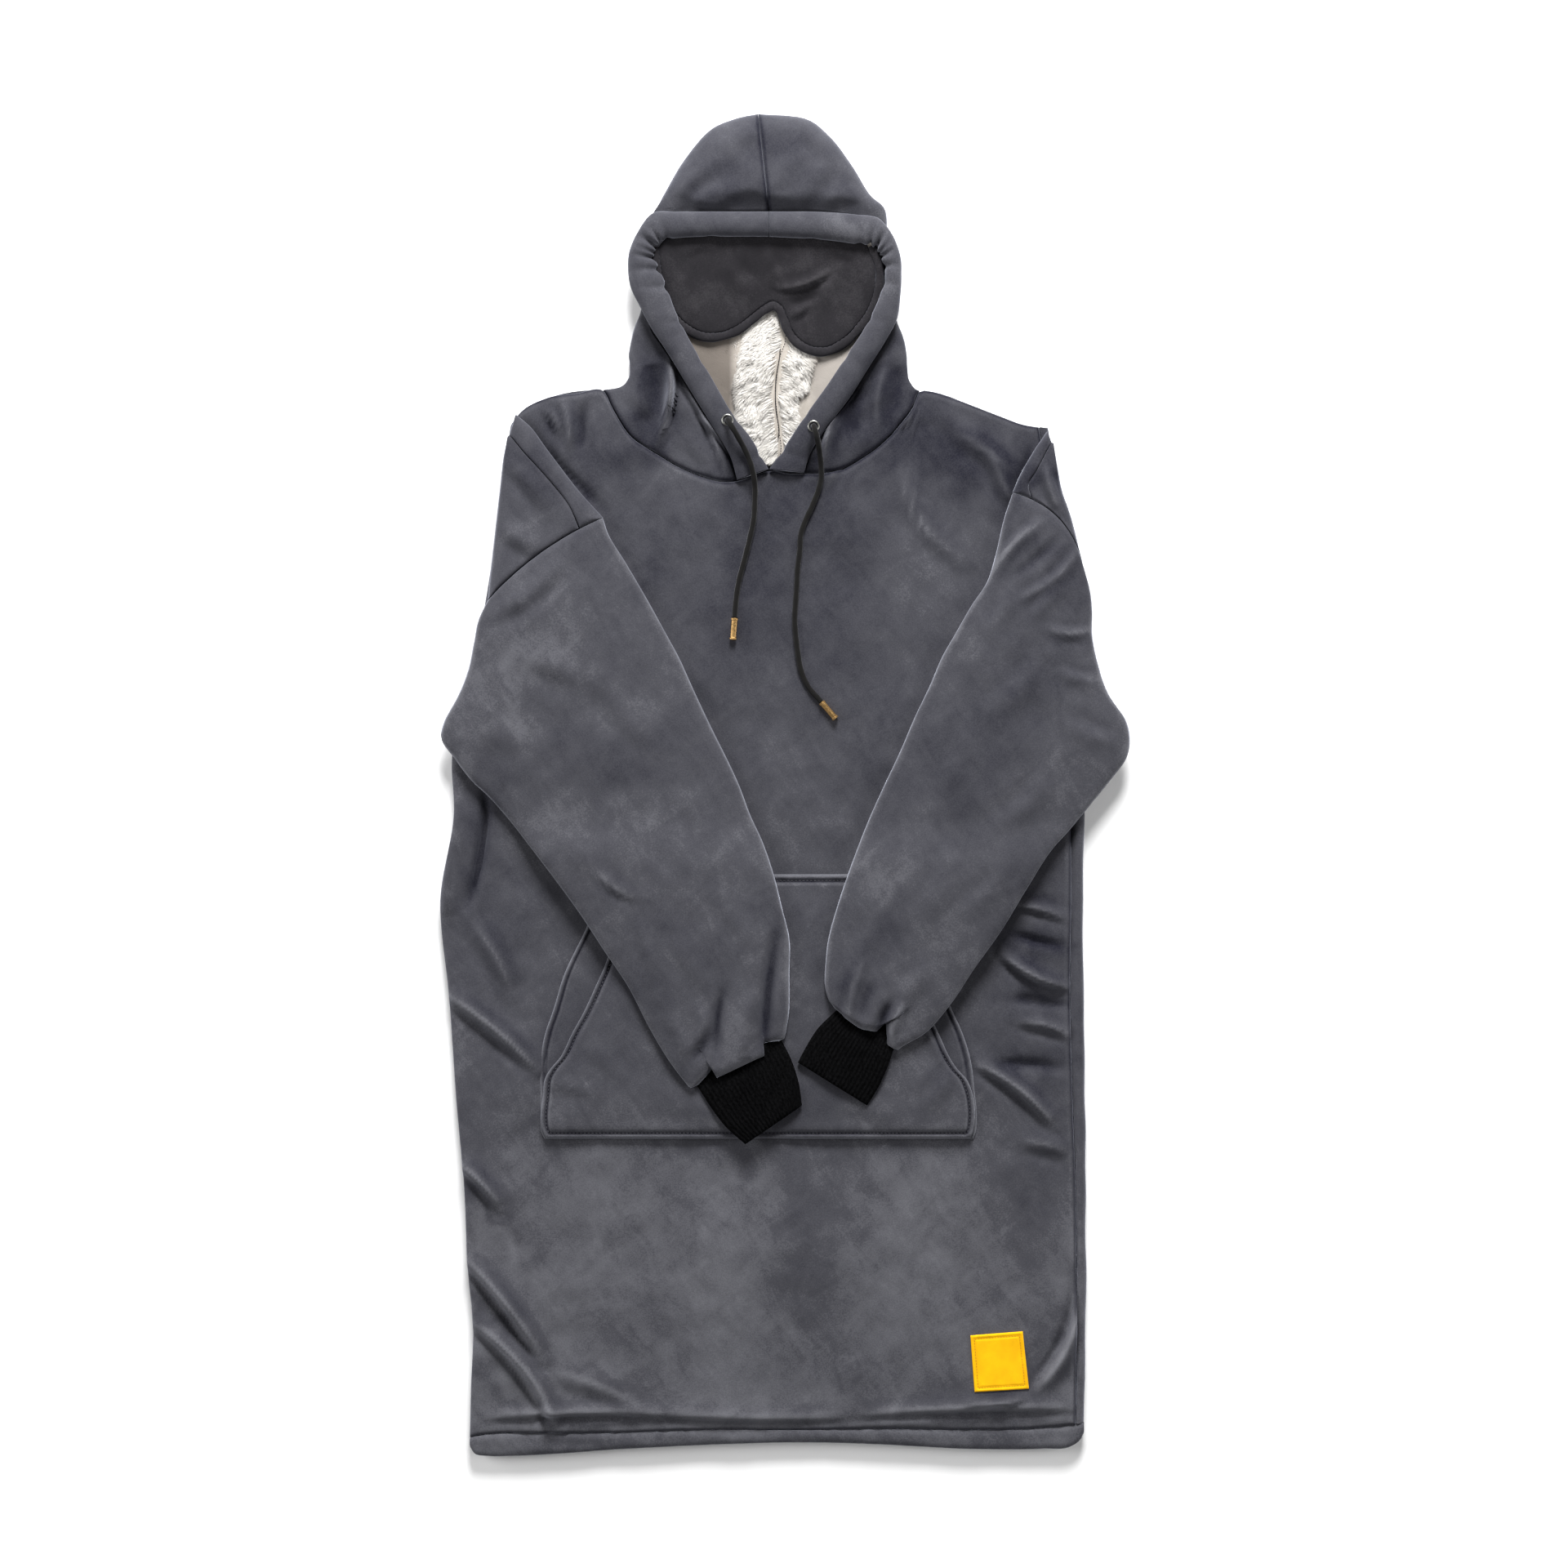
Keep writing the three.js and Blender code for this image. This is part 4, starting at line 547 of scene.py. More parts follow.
def nap_and_painted_shade_at(x, y):
    bent_x = x + ripples("nap x", x, y)
    bent_y = y + ripples("nap y", x, y)
    total = np.zeros_like(x)
    for px, py, length, width, turn, shade in zip(*NAP_AND_PAINTED_SHADE.values()):
        dx, dy = bent_x - px, bent_y - py
        run = dx * math.cos(turn) + dy * math.sin(turn)
        aside = dy * math.cos(turn) - dx * math.sin(turn)
        total += shade * np.exp(-((run / length) ** 2 + (aside / width) ** 2))
    return np.tanh(total / NAP_LIMIT) * NAP_LIMIT


# Soft uneven waves of a mean length, always the same for a seed
WAVE_COUNT = 9
TURNS_PITCHES_PHASES = ((0, math.pi), (0.6, 1.6), (0, 7))


def waves(x, y, length, seed):
    random = np.random.default_rng(seed)
    drawn = [random.uniform(low, high, WAVE_COUNT) for low, high in TURNS_PITCHES_PHASES]
    total = np.zeros_like(x)
    for turn, pitch, phase in zip(*drawn):
        run = x * math.cos(turn) + y * math.sin(turn)
        total += np.sin(2 * math.pi * pitch / length * run + phase)
    return total / math.sqrt(WAVE_COUNT)


# How uneven each cloth is: the height, mean length and seed of its waves
RIPPLES = {
    "front": ((0.7, 115, 3), (0.3, 46, 4)), "back": ((0.35, 90, 6),), "curl": ((0.05, 80, 7),),
    "hem": ((0.35, 60, 8),), "sleeve": ((0.55, 80, 11), (0.3, 30, 12)), "cuff": ((0.5, 34, 13),),
    "shoulder": ((0.4, 50, 14),), "hood": ((0.6, 60, 15), (0.25, 24, 16)), "lining": ((0.3, 40, 17),),
    "mask": ((0.35, 40, 18),), "binding": ((0.06, 22, 19),), "pocket": ((0.4, 60, 24),),
    "lock run": ((0.5, 9, 31),), "lock aside": ((0.5, 13, 32),), "valley": ((0.45, 70, 51),),
    "nap x": ((7, 42, 41),), "nap y": ((7, 42, 42),)}


def ripples(cloth, x, y):
    return sum(height * waves(x, y, length, seed) for height, length, seed in RIPPLES[cloth])


# Meshes

def grid_faces(rows, columns, is_tube):
    r, c = np.meshgrid(np.arange(rows - 1), np.arange(columns if is_tube else columns - 1), indexing="ij")
    n = (c + 1) % columns
    corners = [r * columns + c, r * columns + n, (r + 1) * columns + n, (r + 1) * columns + c]
    return np.stack([corner.ravel() for corner in corners], axis=1)


def rim_faces(first, second, under):
    return np.stack([first, second, second + under, first + under], axis=1)


# A wall of cloth between two grids of points, closed all round
def wall(outer, inner, is_tube=False):
    rows, columns = outer.shape[:2]
    under = rows * columns
    points = np.concatenate([outer.reshape(-1, 3), inner.reshape(-1, 3)])
    top = grid_faces(rows, columns, is_tube)
    c = np.arange(columns if is_tube else columns - 1)
    n = (c + 1) % columns
    last = (rows - 1) * columns
    faces = [top, top[:, ::-1] + under, rim_faces(n, c, under), rim_faces(last + c, last + n, under)]
    if not is_tube:
        r = np.arange(rows - 1) * columns
        end = columns - 1
        faces += [rim_faces(r, r + columns, under), rim_faces(r + columns + end, r + end, under)]
    return outwards(points, np.concatenate(faces))


# Painted highlights and painted shade in lines beside an edge, for both grids of a wall
def edge_painted_light(lines, away):
    outer = sum(shade * np.exp(-((away - at) / width) ** 2) for at, width, shade in zip(*lines.values()))
    return np.concatenate([outer.ravel(), outer.ravel()])


# A solid band through rings of points, closed at its two ends
def band(rings):
    rows, sides = rings.shape[:2]
    middles = rings[[0, -1]].mean(axis=1)
    points = np.concatenate([rings.reshape(-1, 3), middles])
    s = np.arange(sides)
    n = (s + 1) % sides
    last = (rows - 1) * sides
    cap = rows * sides
    caps = [spots(cap, n, s, s), spots(cap + 1, last + s, last + n, last + n)]
    return outwards(points, np.concatenate([grid_faces(rows, sides, True), *caps]))


def outwards(points, faces):
    a, b, c, d = (points[faces[:, k]] for k in range(4))
    volume = np.einsum("ij,ij->", a, np.cross(b, c)) + np.einsum("ij,ij->", a, np.cross(c, d))
    return points, faces[:, ::-1] if volume < 0 else faces


# A face that names a corner twice is a triangle
def mesh_object(name, points, faces, shade=None):
    mesh = bpy.data.meshes.new(name)
    rings = [list(dict.fromkeys(face)) for face in faces.tolist()]
    mesh.from_pydata((points * MM).tolist(), [], rings)
    mesh.shade_smooth()
    # The nap attribute: a tone a point, with painted shade and, on plush, painted highlights
    if shade is not None:
        mesh.attributes.new("nap", "FLOAT", "POINT").data.foreach_set("value", shade)
    obj = bpy.data.objects.new(name, mesh)
    bpy.context.scene.collection.objects.link(obj)
    return obj


def piece(name, shape, look, replaces=(), creases=None):
    points, faces, *shade = shape
    # Plush gets its nap's tone with painted shade, painted fold highlights and the edges' painted lines
    if look in (SLATE, MASK_PLUSH):
        x, y = points[:, 0], points[:, 1]
        shade = [nap_and_painted_shade_at(x, y) + sum(shade) + (fold_painted_light(creases, x, y) if creases else 0)]
    obj = mesh_object(name, points, faces, *shade)
    obj.data.materials.append(look)
    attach(obj, "root")
    if replaces:
        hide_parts(*replaces)
    return obj


# Materials
CLOTH_SHINE = 0.06
RIB_SHINE = 0.02
METAL_SHINE = 0.5

# The colour sockets of a Mix node, whose names repeat for each kind of value
MIX_A, MIX_B, MIX_RESULT = 6, 7, 2


class Look:
    def __init__(self, name, color, roughness, metallic=0.0):
        self.material = bpy.data.materials.new(name)
        self.material.use_nodes = True
        self.tree = self.material.node_tree
        self.shader = self.tree.nodes["Principled BSDF"]
        shine = METAL_SHINE if metallic else CLOTH_SHINE
        self.surface({"Base Color": (*color, 1), "Roughness": roughness, "Metallic": metallic,
                      "Specular IOR Level": shine})
        self.place = self.node("ShaderNodeTexCoord").outputs["Object"]
        self.normal = None

    def surface(self, values):
        for name, value in values.items():
            self.shader.inputs[name].default_value = value

    def node(self, kind, **values):
        made = self.tree.nodes.new(kind)
        for name, value in values.items():
            if name in made.inputs:
                made.inputs[name].default_value = value
            else:
                setattr(made, name, value)
        return made

    def link(self, source, target):
        self.tree.links.new(source, target)

    def stretched(self, scale, turn=0.0):
        mapping = self.node("ShaderNodeMapping", vector_type="TEXTURE")
        mapping.inputs["Scale"].default_value = [1 / share for share in scale]
        mapping.inputs["Rotation"].default_value = (0, 0, turn)
        self.link(self.place, mapping.inputs["Vector"])
        return mapping.outputs["Vector"]

    # Cloudy noise whose patches are about this many millimetres across
    def noise(self, size, detail=3.0, rough=0.5, warp=0.0, place=None):
        made = self.node("ShaderNodeTexNoise", Scale=1 / MM / size, Detail=detail, Roughness=rough,
                         Distortion=warp)
        self.link(place or self.place, made.inputs["Vector"])
        return made.outputs["Fac"]

    def ramp(self, factor, start, end, low=0.0, high=1.0):
        limits = {"From Min": start, "From Max": end, "To Min": low, "To Max": high}
        made = self.node("ShaderNodeMapRange", interpolation_type="LINEAR", **limits)
        self.link(factor, made.inputs["Value"])
        return made.outputs["Result"]

    def combined(self, operation, a, b):
        made = self.node("ShaderNodeMath", operation=operation)
        self.link(a, made.inputs[0])
        self.link(b, made.inputs[1])
        return made.outputs["Value"]

    def blend(self, factor, a, b):
        made = self.node("ShaderNodeMix", data_type="RGBA")
        self.link(factor, made.inputs["Factor"])
        for value, socket in ((a, made.inputs[MIX_A]), (b, made.inputs[MIX_B])):
            if isinstance(value, tuple):
                socket.default_value = (*value, 1)
            else:
                self.link(value, socket)
        return made.outputs[MIX_RESULT]

    def color(self, source):
        self.link(source, self.shader.inputs["Base Color"])

    def bump(self, height, strength, depth):
        made = self.node("ShaderNodeBump", Strength=strength, Distance=depth * MM)
        self.link(height, made.inputs["Height"])
        if self.normal:
            self.link(self.normal, made.inputs["Normal"])
        self.normal = made.outputs["Normal"]
        self.link(self.normal, self.shader.inputs["Normal"])

    def sheen(self, weight, roughness, tint):
        self.surface({"Sheen Weight": weight, "Sheen Roughness": roughness, "Sheen Tint": (*tint, 1)})


# Brushed plush: its nap lies in soft strokes of two directions, with a fine grain, over the placed patches,
# which carry painted highlights on rims and painted shade in hollows and seams
STROKES = table("size warp narrow turn weight",
    (170, 0.8, 0.8, 0.3, 0.3), (62, 1.2, 0.6, 0.7, 0.26), (30, 1.4, 0.5, -0.9, 0.24),
    (13, 1, 0.4, 0.5, 0.2), (5, 0.2, 0.3, 0.8, 0.07), (5, 0.2, 0.3, -0.75, 0.07), (1.3, 0, 1, 0, 0.34))


NAP_SHADE = 0.66


def plush(name, dark, middle, light, seed):
    look = Look(name, middle, 0.95)
    shifted = look.node("ShaderNodeVectorMath", operation="ADD")
    look.link(look.place, shifted.inputs[0])
    shifted.inputs[1].default_value = (seed, 2 * seed, 0)
    look.place = shifted.outputs["Vector"]
    # The placed value: nap patches, painted highlights on rims and painted shade in hollows and seams
    placed = look.node("ShaderNodeAttribute", attribute_name="nap").outputs["Fac"]
    total = look.ramp(placed, -NAP_LIMIT, NAP_LIMIT, -NAP_SHADE, NAP_SHADE)
    for size, warp, narrow, turn, weight in zip(*STROKES.values()):
        noise = look.noise(size, 2, rough=0.45, warp=warp, place=look.stretched((1, narrow, 1), turn))
        total = look.combined("ADD", total, look.ramp(noise, 0.2, 0.8, -weight / 2, weight / 2))
    low = look.blend(look.ramp(total, -0.8, 0.1), dark, middle)
    look.color(look.blend(look.ramp(total, -0.02, 1.05), low, light))
    broad = look.noise(60, 3, rough=0.55, warp=0.9, place=look.stretched((1, 0.7, 1), 0.5))
    look.bump(broad, strength=0.6, depth=3)
    narrow = look.noise(14, 3, rough=0.6, warp=0.4, place=look.stretched((1, 0.5, 1), -0.5))
    look.bump(narrow, strength=0.4, depth=0.9)
    look.bump(look.noise(1.1, 2, rough=0.6), strength=0.35, depth=0.3)
    look.sheen(0.55, 0.4, (0.58, 0.6, 0.7))
    return look.material


# Fleece: it turns into its two sides' colours over short stretches of X, in metres as everything in a look;
# both sides are a beige short fleece, the left one darker with painted shade; a long pile is shaded along
# its fibres
SIDE_TURNS = ((-0.054, -0.044), (0.02, 0.03))


def fleece(name, base, shadow, sides, grain, is_long):
    look = Look(name, base, 1.0)
    if is_long:
        clumps = look.node("ShaderNodeAttribute", attribute_name="nap").outputs["Fac"]
    else:
        clumps = look.ramp(look.noise(grain, 3, rough=0.6, warp=0.5), 0.35, 0.62)
    parts = look.node("ShaderNodeSeparateXYZ")
    look.link(look.place, parts.inputs[0])
    left, right = (look.ramp(parts.outputs["X"], *turn) for turn in SIDE_TURNS)
    color = look.blend(left, sides[0], look.blend(clumps, shadow, base))
    look.color(look.blend(right, color, sides[1]))
    look.bump(look.noise(grain, 3, rough=0.65, warp=0.6), strength=0.3, depth=1.2)
    look.bump(look.noise(0.7, 2, rough=0.6), strength=0.4, depth=0.3)
    look.sheen(0.2, 0.5, (1, 0.98, 0.94))
    return look.material


# Rib knit: the ribs are in the mesh, and the loops of the knit in the bump
def rib_knit():
    look = Look("rib_knit", (0.002, 0.002, 0.0022), 0.95)
    look.surface({"Specular IOR Level": RIB_SHINE})
    loops = look.noise(1.5, 2, warp=0.2, place=look.stretched((1, 0.6, 1), 0.5))
    look.color(look.blend(look.ramp(loops, 0.35, 0.65), (0.001, 0.001, 0.0011), (0.0034, 0.0034, 0.0037)))
    look.bump(loops, strength=0.6, depth=0.4)
    return look.material


def thread(name, color):
    look = Look(name, color, 0.8)
    look.bump(look.noise(0.8, 2), strength=0.4, depth=0.15)
    look.sheen(0.15, 0.5, (0.7, 0.7, 0.75))
    return look.material


def metal(name, color, worn, roughness):
    look = Look(name, color, roughness, 1.0)
    look.color(look.blend(look.ramp(look.noise(5, 3, rough=0.6), 0.4, 0.7), color, worn))
    rough = look.ramp(look.noise(2.5, 3, rough=0.6), 0.3, 0.7, low=roughness * 0.8, high=roughness * 1.5)
    look.link(rough, look.shader.inputs["Roughness"])
    look.bump(look.noise(0.8, 2, place=look.stretched((1, 1, 0.2))), strength=0.2, depth=0.05)
    return look.material


# Woven patch cloth: a fine crossing weave with slightly uneven dye
def patch_cloth():
    look = Look("patch_cloth", (0.84, 0.44, 0.005), 0.75)
    wave = {"Scale": 620.0, "Distortion": 0.3, "Detail": 1.0}
    warp = look.node("ShaderNodeTexWave", bands_direction="X", **wave)
    weft = look.node("ShaderNodeTexWave", bands_direction="Y", **wave)
    for made in (warp, weft):
        look.link(look.place, made.inputs["Vector"])
    weave = look.combined("MULTIPLY", warp.outputs["Fac"], weft.outputs["Fac"])
    uneven = look.ramp(look.noise(14, 3, rough=0.6), 0.35, 0.7)
    look.color(look.blend(uneven, (0.86, 0.46, 0.004), (0.76, 0.39, 0.004)))
    look.bump(weave, strength=0.5, depth=0.2)
    look.sheen(0.1, 0.4, (1, 0.95, 0.8))
    return look.material


# Dark, middle and light colours of each plush; painted shade leans to the dark one and painted highlights to
# the light one, as do the nap's strokes
SLATE_TONES = (0.011, 0.011, 0.017), (0.057, 0.057, 0.0655), (0.16, 0.161, 0.177)
MASK_TONES = (0.005, 0.0047, 0.0055), (0.0185, 0.0172, 0.0195), (0.062, 0.059, 0.063)
SLATE = plush("slate_plush", *SLATE_TONES, 0.0)
MASK_PLUSH = plush("mask_plush", *MASK_TONES, 3.0)
# Beige short fleece at the lining's sides; the left one is darker with painted shade
LINING_SIDE_TONES_AND_SHADE = (0.138, 0.12, 0.105), (0.3, 0.275, 0.25)
PILE_BASE = fleece("short_fleece", (0.42, 0.385, 0.345), (0.34, 0.31, 0.275), LINING_SIDE_TONES_AND_SHADE, 12, False)
PILE = fleece("long_fleece", (0.8, 0.78, 0.75), (0.44, 0.415, 0.38), LINING_SIDE_TONES_AND_SHADE, 5, True)
RIB = rib_knit()
CORD_BLACK = thread("cord_black", (0.005, 0.0047, 0.0043))
THREAD = thread("slate_thread", (0.05, 0.05, 0.058))
YELLOW_THREAD = thread("yellow_thread", (0.42, 0.19, 0.003))
GOLD = metal("gold_tone", (0.72, 0.45, 0.18), (0.6, 0.36, 0.14), 0.28)
NICKEL = metal("dark_nickel", (0.34, 0.34, 0.32), (0.24, 0.24, 0.22), 0.3)
PATCH = patch_cloth()


def plush_piece(name, shape, node, creases=None):
    piece(name, shape, SLATE, [node], creases)


# Cords: a braided tube along its route
BRAID = {"strands": 8, "pitch": 7.5, "depth": 0.16, "mean": 0.4}
CORD_SIDES = 24


def cord_path(route):
    knots = knots_of(points_of(route, "x y z"))
    return points_of(smooth(route, "x y z", np.linspace(0, 1, int(knots[-1]))), "x y z")


def cord_rings(path):
    runs = np.gradient(path, axis=0)
    runs /= np.linalg.norm(runs, axis=1)[:, None]
    side = np.cross(runs[0], (0, 1, 0))
    length = knots_of(path)
    angle = 2 * math.pi * np.arange(CORD_SIDES) / CORD_SIDES
    rings = []
    for place, run, at in zip(path, runs, length):
        side = side - run * side.dot(run)
        side /= np.linalg.norm(side)
        up = np.cross(run, side)
        turn = 2 * math.pi * at / BRAID["pitch"]
        pairs = BRAID["strands"] / 2
        crossing = np.cos(pairs * (angle + turn)) * np.cos(pairs * (angle - turn))
        radius = (CORD_RADIUS + BRAID["depth"] * (crossing - BRAID["mean"]))[:, None]
        rings.append(place + radius * (np.cos(angle)[:, None] * side + np.sin(angle)[:, None] * up))
    return np.stack(rings)


def drawcord(side, route):
    path = cord_path(route)
    obj = piece("braided_cord_" + side, band(cord_rings(path)), CORD_BLACK, ["drawcord_" + side])


place_camera()
drawcord("left", CORD_LEFT)
drawcord("right", CORD_RIGHT)


# Body panels

body_left = reader(BODY, "y", "left")
body_right = reader(BODY, "y", "right")
body_seam = reader(BODY, "y", "seam")
front_edge = reader(FRONT_EDGE, "x", "y")
back_edge = reader(BACK_EDGE, "x", "y")
hem_seam = reader(HEM, "x", "seam")
# Painted shade in a seam's groove, and a faint painted highlight on the rolled edge beside it
SEAM_PAINTED_SHADE_AND_LIGHT = table("at width shade", (0, 2, -1.7), (4.4, 1.8, 0.3))


def body_place(edge, level, x):
    share = (level - HEM_LEVEL) / BODY_LENGTH
    seam = hem_seam(x) + SEAM_GAP
    return seam + share * (edge(x) - seam)


# Small puckers along a sewn edge: how far in they reach, their mean length, and each edge's depth and seed
PUCKER_REACH = 9
PUCKER_LENGTH = 15
PUCKERS = {"front": (0.5, 5), "hem": (0.5, 9), "pocket": (0.35, 25)}


def puckers(edge, at, away):
    depth, seed = PUCKERS[edge]
    return depth * np.exp(-away / PUCKER_REACH) * waves(at, 0, PUCKER_LENGTH, seed)


def front_height(x, y):
    return FRONT_TOP + creases_at(FRONT_CREASES, x, y) + ripples("front", x, y)


UNDER_FOLDS = 0.3


def front_cloth():
    levels = HEM_LEVEL + graded(FRONT_ROWS)[:, None] * BODY_LENGTH
    left = body_left(levels)
    seam = body_seam(levels) - SEAM_GAP
    x = left + graded(FRONT_COLUMNS)[None, :] * (seam - left)
    y = body_place(front_edge, levels, x)
    from_seam = np.minimum(np.minimum(seam - x, y - hem_seam(x)), front_edge(x) - y)
    height = front_height(x, y) + puckers("front", x, y - hem_seam(x))
    top = height - rounded("seam", from_seam) - rounded("side", x - left)
    under = FRONT_UNDER + UNDER_FOLDS * np.clip(height - FRONT_TOP, 0, None)
    return *wall(spots(x, y, top), spots(x, y, under)), edge_painted_light(SEAM_PAINTED_SHADE_AND_LIGHT, from_seam)


# The back's right edge curls up round the side and ends at the seam that shows in front
CURL = {"core": 0.35, "below_front": 0.3, "steps": 12, "lip": 1.6}
BACK_HOLLOW = 2.4


def back_cloth():
    radius = (FRONT_TOP - CURL["below_front"]) / 2
    levels = HEM_LEVEL + spread(*GRID["back rows"])[:, None] * BODY_LENGTH
    left = body_left(levels)
    turn = body_right(levels) - radius
    end = np.minimum(body_seam(levels) + SEAM_GAP, turn - SEAM_GAP)
    x = left + spread(*GRID["back columns"])[None, :] * (turn - left)
    y = body_place(back_edge, levels, x)
    edge = np.minimum(y - hem_seam(x), back_edge(x) - y)
    up = np.maximum(rounded("back side", x - left), rounded("back ends", edge))
    hollow = np.clip(creases_at(BACK_CREASES, x, y) + ripples("back", x, y), 0, BACK_HOLLOW)
    flat_out = spots(x, y, np.maximum(up, hollow))
    flat_in = spots(x, y, WALL)
    angles = np.pi * (np.linspace(0, 1, CURL["steps"] + 1)[None, 1:] - 0.5)
    plump = 1 + ripples("curl", levels, 0)

    def curled(r):
        cx = turn + r * plump * np.cos(angles)
        return spots(cx, body_place(back_edge, levels, cx), radius + r * np.sin(angles))

    def lip(z):
        return spots(end, body_place(back_edge, levels, end), z)

    outer = np.concatenate([flat_out, curled(radius), lip(2 * radius - CURL["lip"])], axis=1)
    inner = np.concatenate([flat_in, curled(CURL["core"]), lip(radius + CURL["core"])], axis=1)
    return wall(outer, inner)


# The hem's waves run across it, and its roundings stop at the wall's middle
HEM_ACROSS = 3
HEM_DROP = {"front": 4.6, "back": 4, "most": 4.2}
HEM_WAVE_UNDER = 0.3


def hem_cloth(is_front):
    fine = smooth(HEM, "x bottom", spread(*GRID["hem columns"]))
    bottom = fine["bottom"][:, None]
    seam = fine["seam"][:, None] - SEAM_GAP
    y = seam + spread(*GRID["hem rows"])[None, :] * (bottom - seam)
    x = np.broadcast_to(fine["x"][:, None], y.shape)
    ends = np.minimum(x - x[0], x[-1] - x)
    drop = rounded("seam", seam - y + SEAM_GAP) + rounded("hem foot", y - bottom) + rounded("hem ends", ends)
    wave = ripples("hem", x, y * HEM_ACROSS) + puckers("hem", x, seam - y)
    if is_front:
        top = FRONT_TOP - HEM_SINK + wave - np.minimum(drop, HEM_DROP["front"])
        return wall(spots(x, y, top), spots(x, y, FRONT_UNDER))
    under = np.clip(np.minimum(drop, HEM_DROP["back"]) - HEM_WAVE_UNDER * wave, 0, HEM_DROP["most"])
    return wall(spots(x, y, WALL), spots(x, y, under))


plush_piece("front_cloth", front_cloth(), "front_panel", FRONT_CREASES)
plush_piece("back_cloth", back_cloth(), "back_panel")
plush_piece("hem_front_cloth", hem_cloth(True), "hem_band_front")
plush_piece("hem_back_cloth", hem_cloth(False), "hem_band_back")


# Sleeves and cuffs

def section_places(fine, u, inset=0.0):
    a = spots(fine["ax"], fine["ay"])[:, None, :]
    b = spots(fine["bx"], fine["by"])[:, None, :]
    length = np.linalg.norm(b - a, axis=-1, keepdims=True)
    run = (b - a) / length
    u = np.asarray(u)[None, :, None]
    bow = fine["bow"][:, None, None] * (1 - u * u) if "bow" in fine else 0
    away = np.concatenate([run[..., 1:], -run[..., :1]], axis=-1)
    return (a + b) / 2 + run * u * (length / 2 - inset) + away * bow


def sleeve_under(y):
    rise = smoothstep(-y, -SLEEVE_RAMP[0], -SLEEVE_RAMP[1])
    return SLEEVE_UNDER + rise * (SLEEVE_ON_POCKET - SLEEVE_UNDER)


SLEEVE_RING = {"count": 84, "width": 170}
END_ZONE = 46
END_ROWS = 6
CROWN_SPREAD = 0.7
# Painted highlights along the sleeve's two long edges and along its end
SLEEVE_PAINTED_RIM = table("at width shade", (0.6, 2.4, 0.9))
END_PAINTED_RIM = table("at width shade", (1, 2.2, 0.9))


def sleeve_cloth(rows, end):
    fine = smooth(rows, "ax ay bx by", spread(*GRID["sleeve rows"]))
    u, lift = tube_ring(SLEEVE_RING["count"], SLEEVE_RING["width"], SLEEVE_HIGH, FLAT_POWER)
    over = np.clip(lift, 0, 1)
    center = middle_line(fine, "ax ay", "bx by")
    length = knots_of(center)
    from_start = length[:, None]
    from_end = (length[-1] - length)[:, None]
    down = center[-1] - center[-END_ROWS]
    down = down / np.linalg.norm(down)
    end_reach = reader(end, "u", "reach")(u)[None, :]

    def ring(inset):
        place = section_places(fine, u, inset)
        place = place + (end_reach * (1 - smoothstep(from_end, 0, END_ZONE)))[..., None] * down
        x, y = place[..., 0], place[..., 1]
        level = sleeve_under(y) + SLEEVE_HIGH / 2
        if inset:
            return spots(x, y, level + lift * (SLEEVE_HIGH / 2 - inset))
        crown = fine["crown"][:, None] * (1 - u * u) + creases_at(SLEEVE_CREASES, x, y)
        crown = crown + ripples("sleeve", x, y)
        dip = rounded("seam", from_start) + rounded("sleeve end", from_end)
        z = level + lift * SLEEVE_HIGH / 2 + over * (crown * roundness(u, 2) ** CROWN_SPREAD - dip)
        return spots(x, y, z)

    half = np.hypot(fine["bx"] - fine["ax"], fine["by"] - fine["ay"])[:, None] / 2
    painted_side_rims = edge_painted_light(SLEEVE_PAINTED_RIM, (1 - np.abs(u)) * half)
    return *wall(ring(0), ring(SLEEVE_WALL), True), painted_side_rims + edge_painted_light(END_PAINTED_RIM, from_end + 0 * u)


# A cuff starts inside its sleeve, at a share of its first step, and is drawn in there
CUFF_INSIDE = 0.7
CUFF_TUCK = {"depth": 4.4, "from": 10, "to": 34}
CUFF_RING = {"width": 85, "power": 3}
CUFF_CLEAR = 0.2
RIB_STEPS = 6


def cuff_cloth(rows):
    rows = {name: np.concatenate([column[:1] + CUFF_INSIDE * (column[:1] - column[1:2]), column])
            for name, column in rows.items()}
    fine = smooth(rows, "ax ay bx by", spread(*GRID["cuff rows"]))
    u, lift = tube_ring(RIB_STEPS * CUFF_RIBS, CUFF_RING["width"], CUFF_HIGH, CUFF_RING["power"])
    rib = (1 + np.cos(2 * math.pi * np.arange(RIB_STEPS * CUFF_RIBS) / RIB_STEPS)) / 2
    length = knots_of(middle_line(fine, "ax ay", "bx by"))
    from_end = (length[-1] - length)[:, None]
    level = SLEEVE_ON_POCKET + CUFF_HIGH / 2 + CUFF_CLEAR

    def ring(inset):
        place = section_places(fine, u, inset)
        x, y = place[..., 0], place[..., 1]
        half = CUFF_HIGH / 2 - RIB_RAISED - inset
        if inset:
            return spots(x, y, level + lift * half)
        tucked = CUFF_TUCK["depth"] * (1 - smoothstep(length[:, None], CUFF_TUCK["from"], CUFF_TUCK["to"]))
        rise = RIB_RAISED * rib - rounded("cuff end", from_end) - tucked
        return spots(x, y, level + lift * (half + rise) + ripples("cuff", x, y) * np.clip(lift, 0, 1))

    return wall(ring(0), ring(CUFF_WALL), True)


sleeves = {"left": (SLEEVE_LEFT, END_LEFT, CUFF_LEFT), "right": (SLEEVE_RIGHT, END_RIGHT, CUFF_RIGHT)}
for side, (rows, end, cuff_rows) in sleeves.items():
    plush_piece("sleeve_cloth_" + side, sleeve_cloth(rows, end), "sleeve_" + side, SLEEVE_CREASES)
    piece("rib_cuff_" + side, cuff_cloth(cuff_rows), RIB, ["cuff_" + side])


# Shoulders folded forward: a strip from the side's rows down to the armhole seam
SHOULDER_COLUMNS = 46
ARMHOLE_GAP = 1.6 * SEAM_GAP


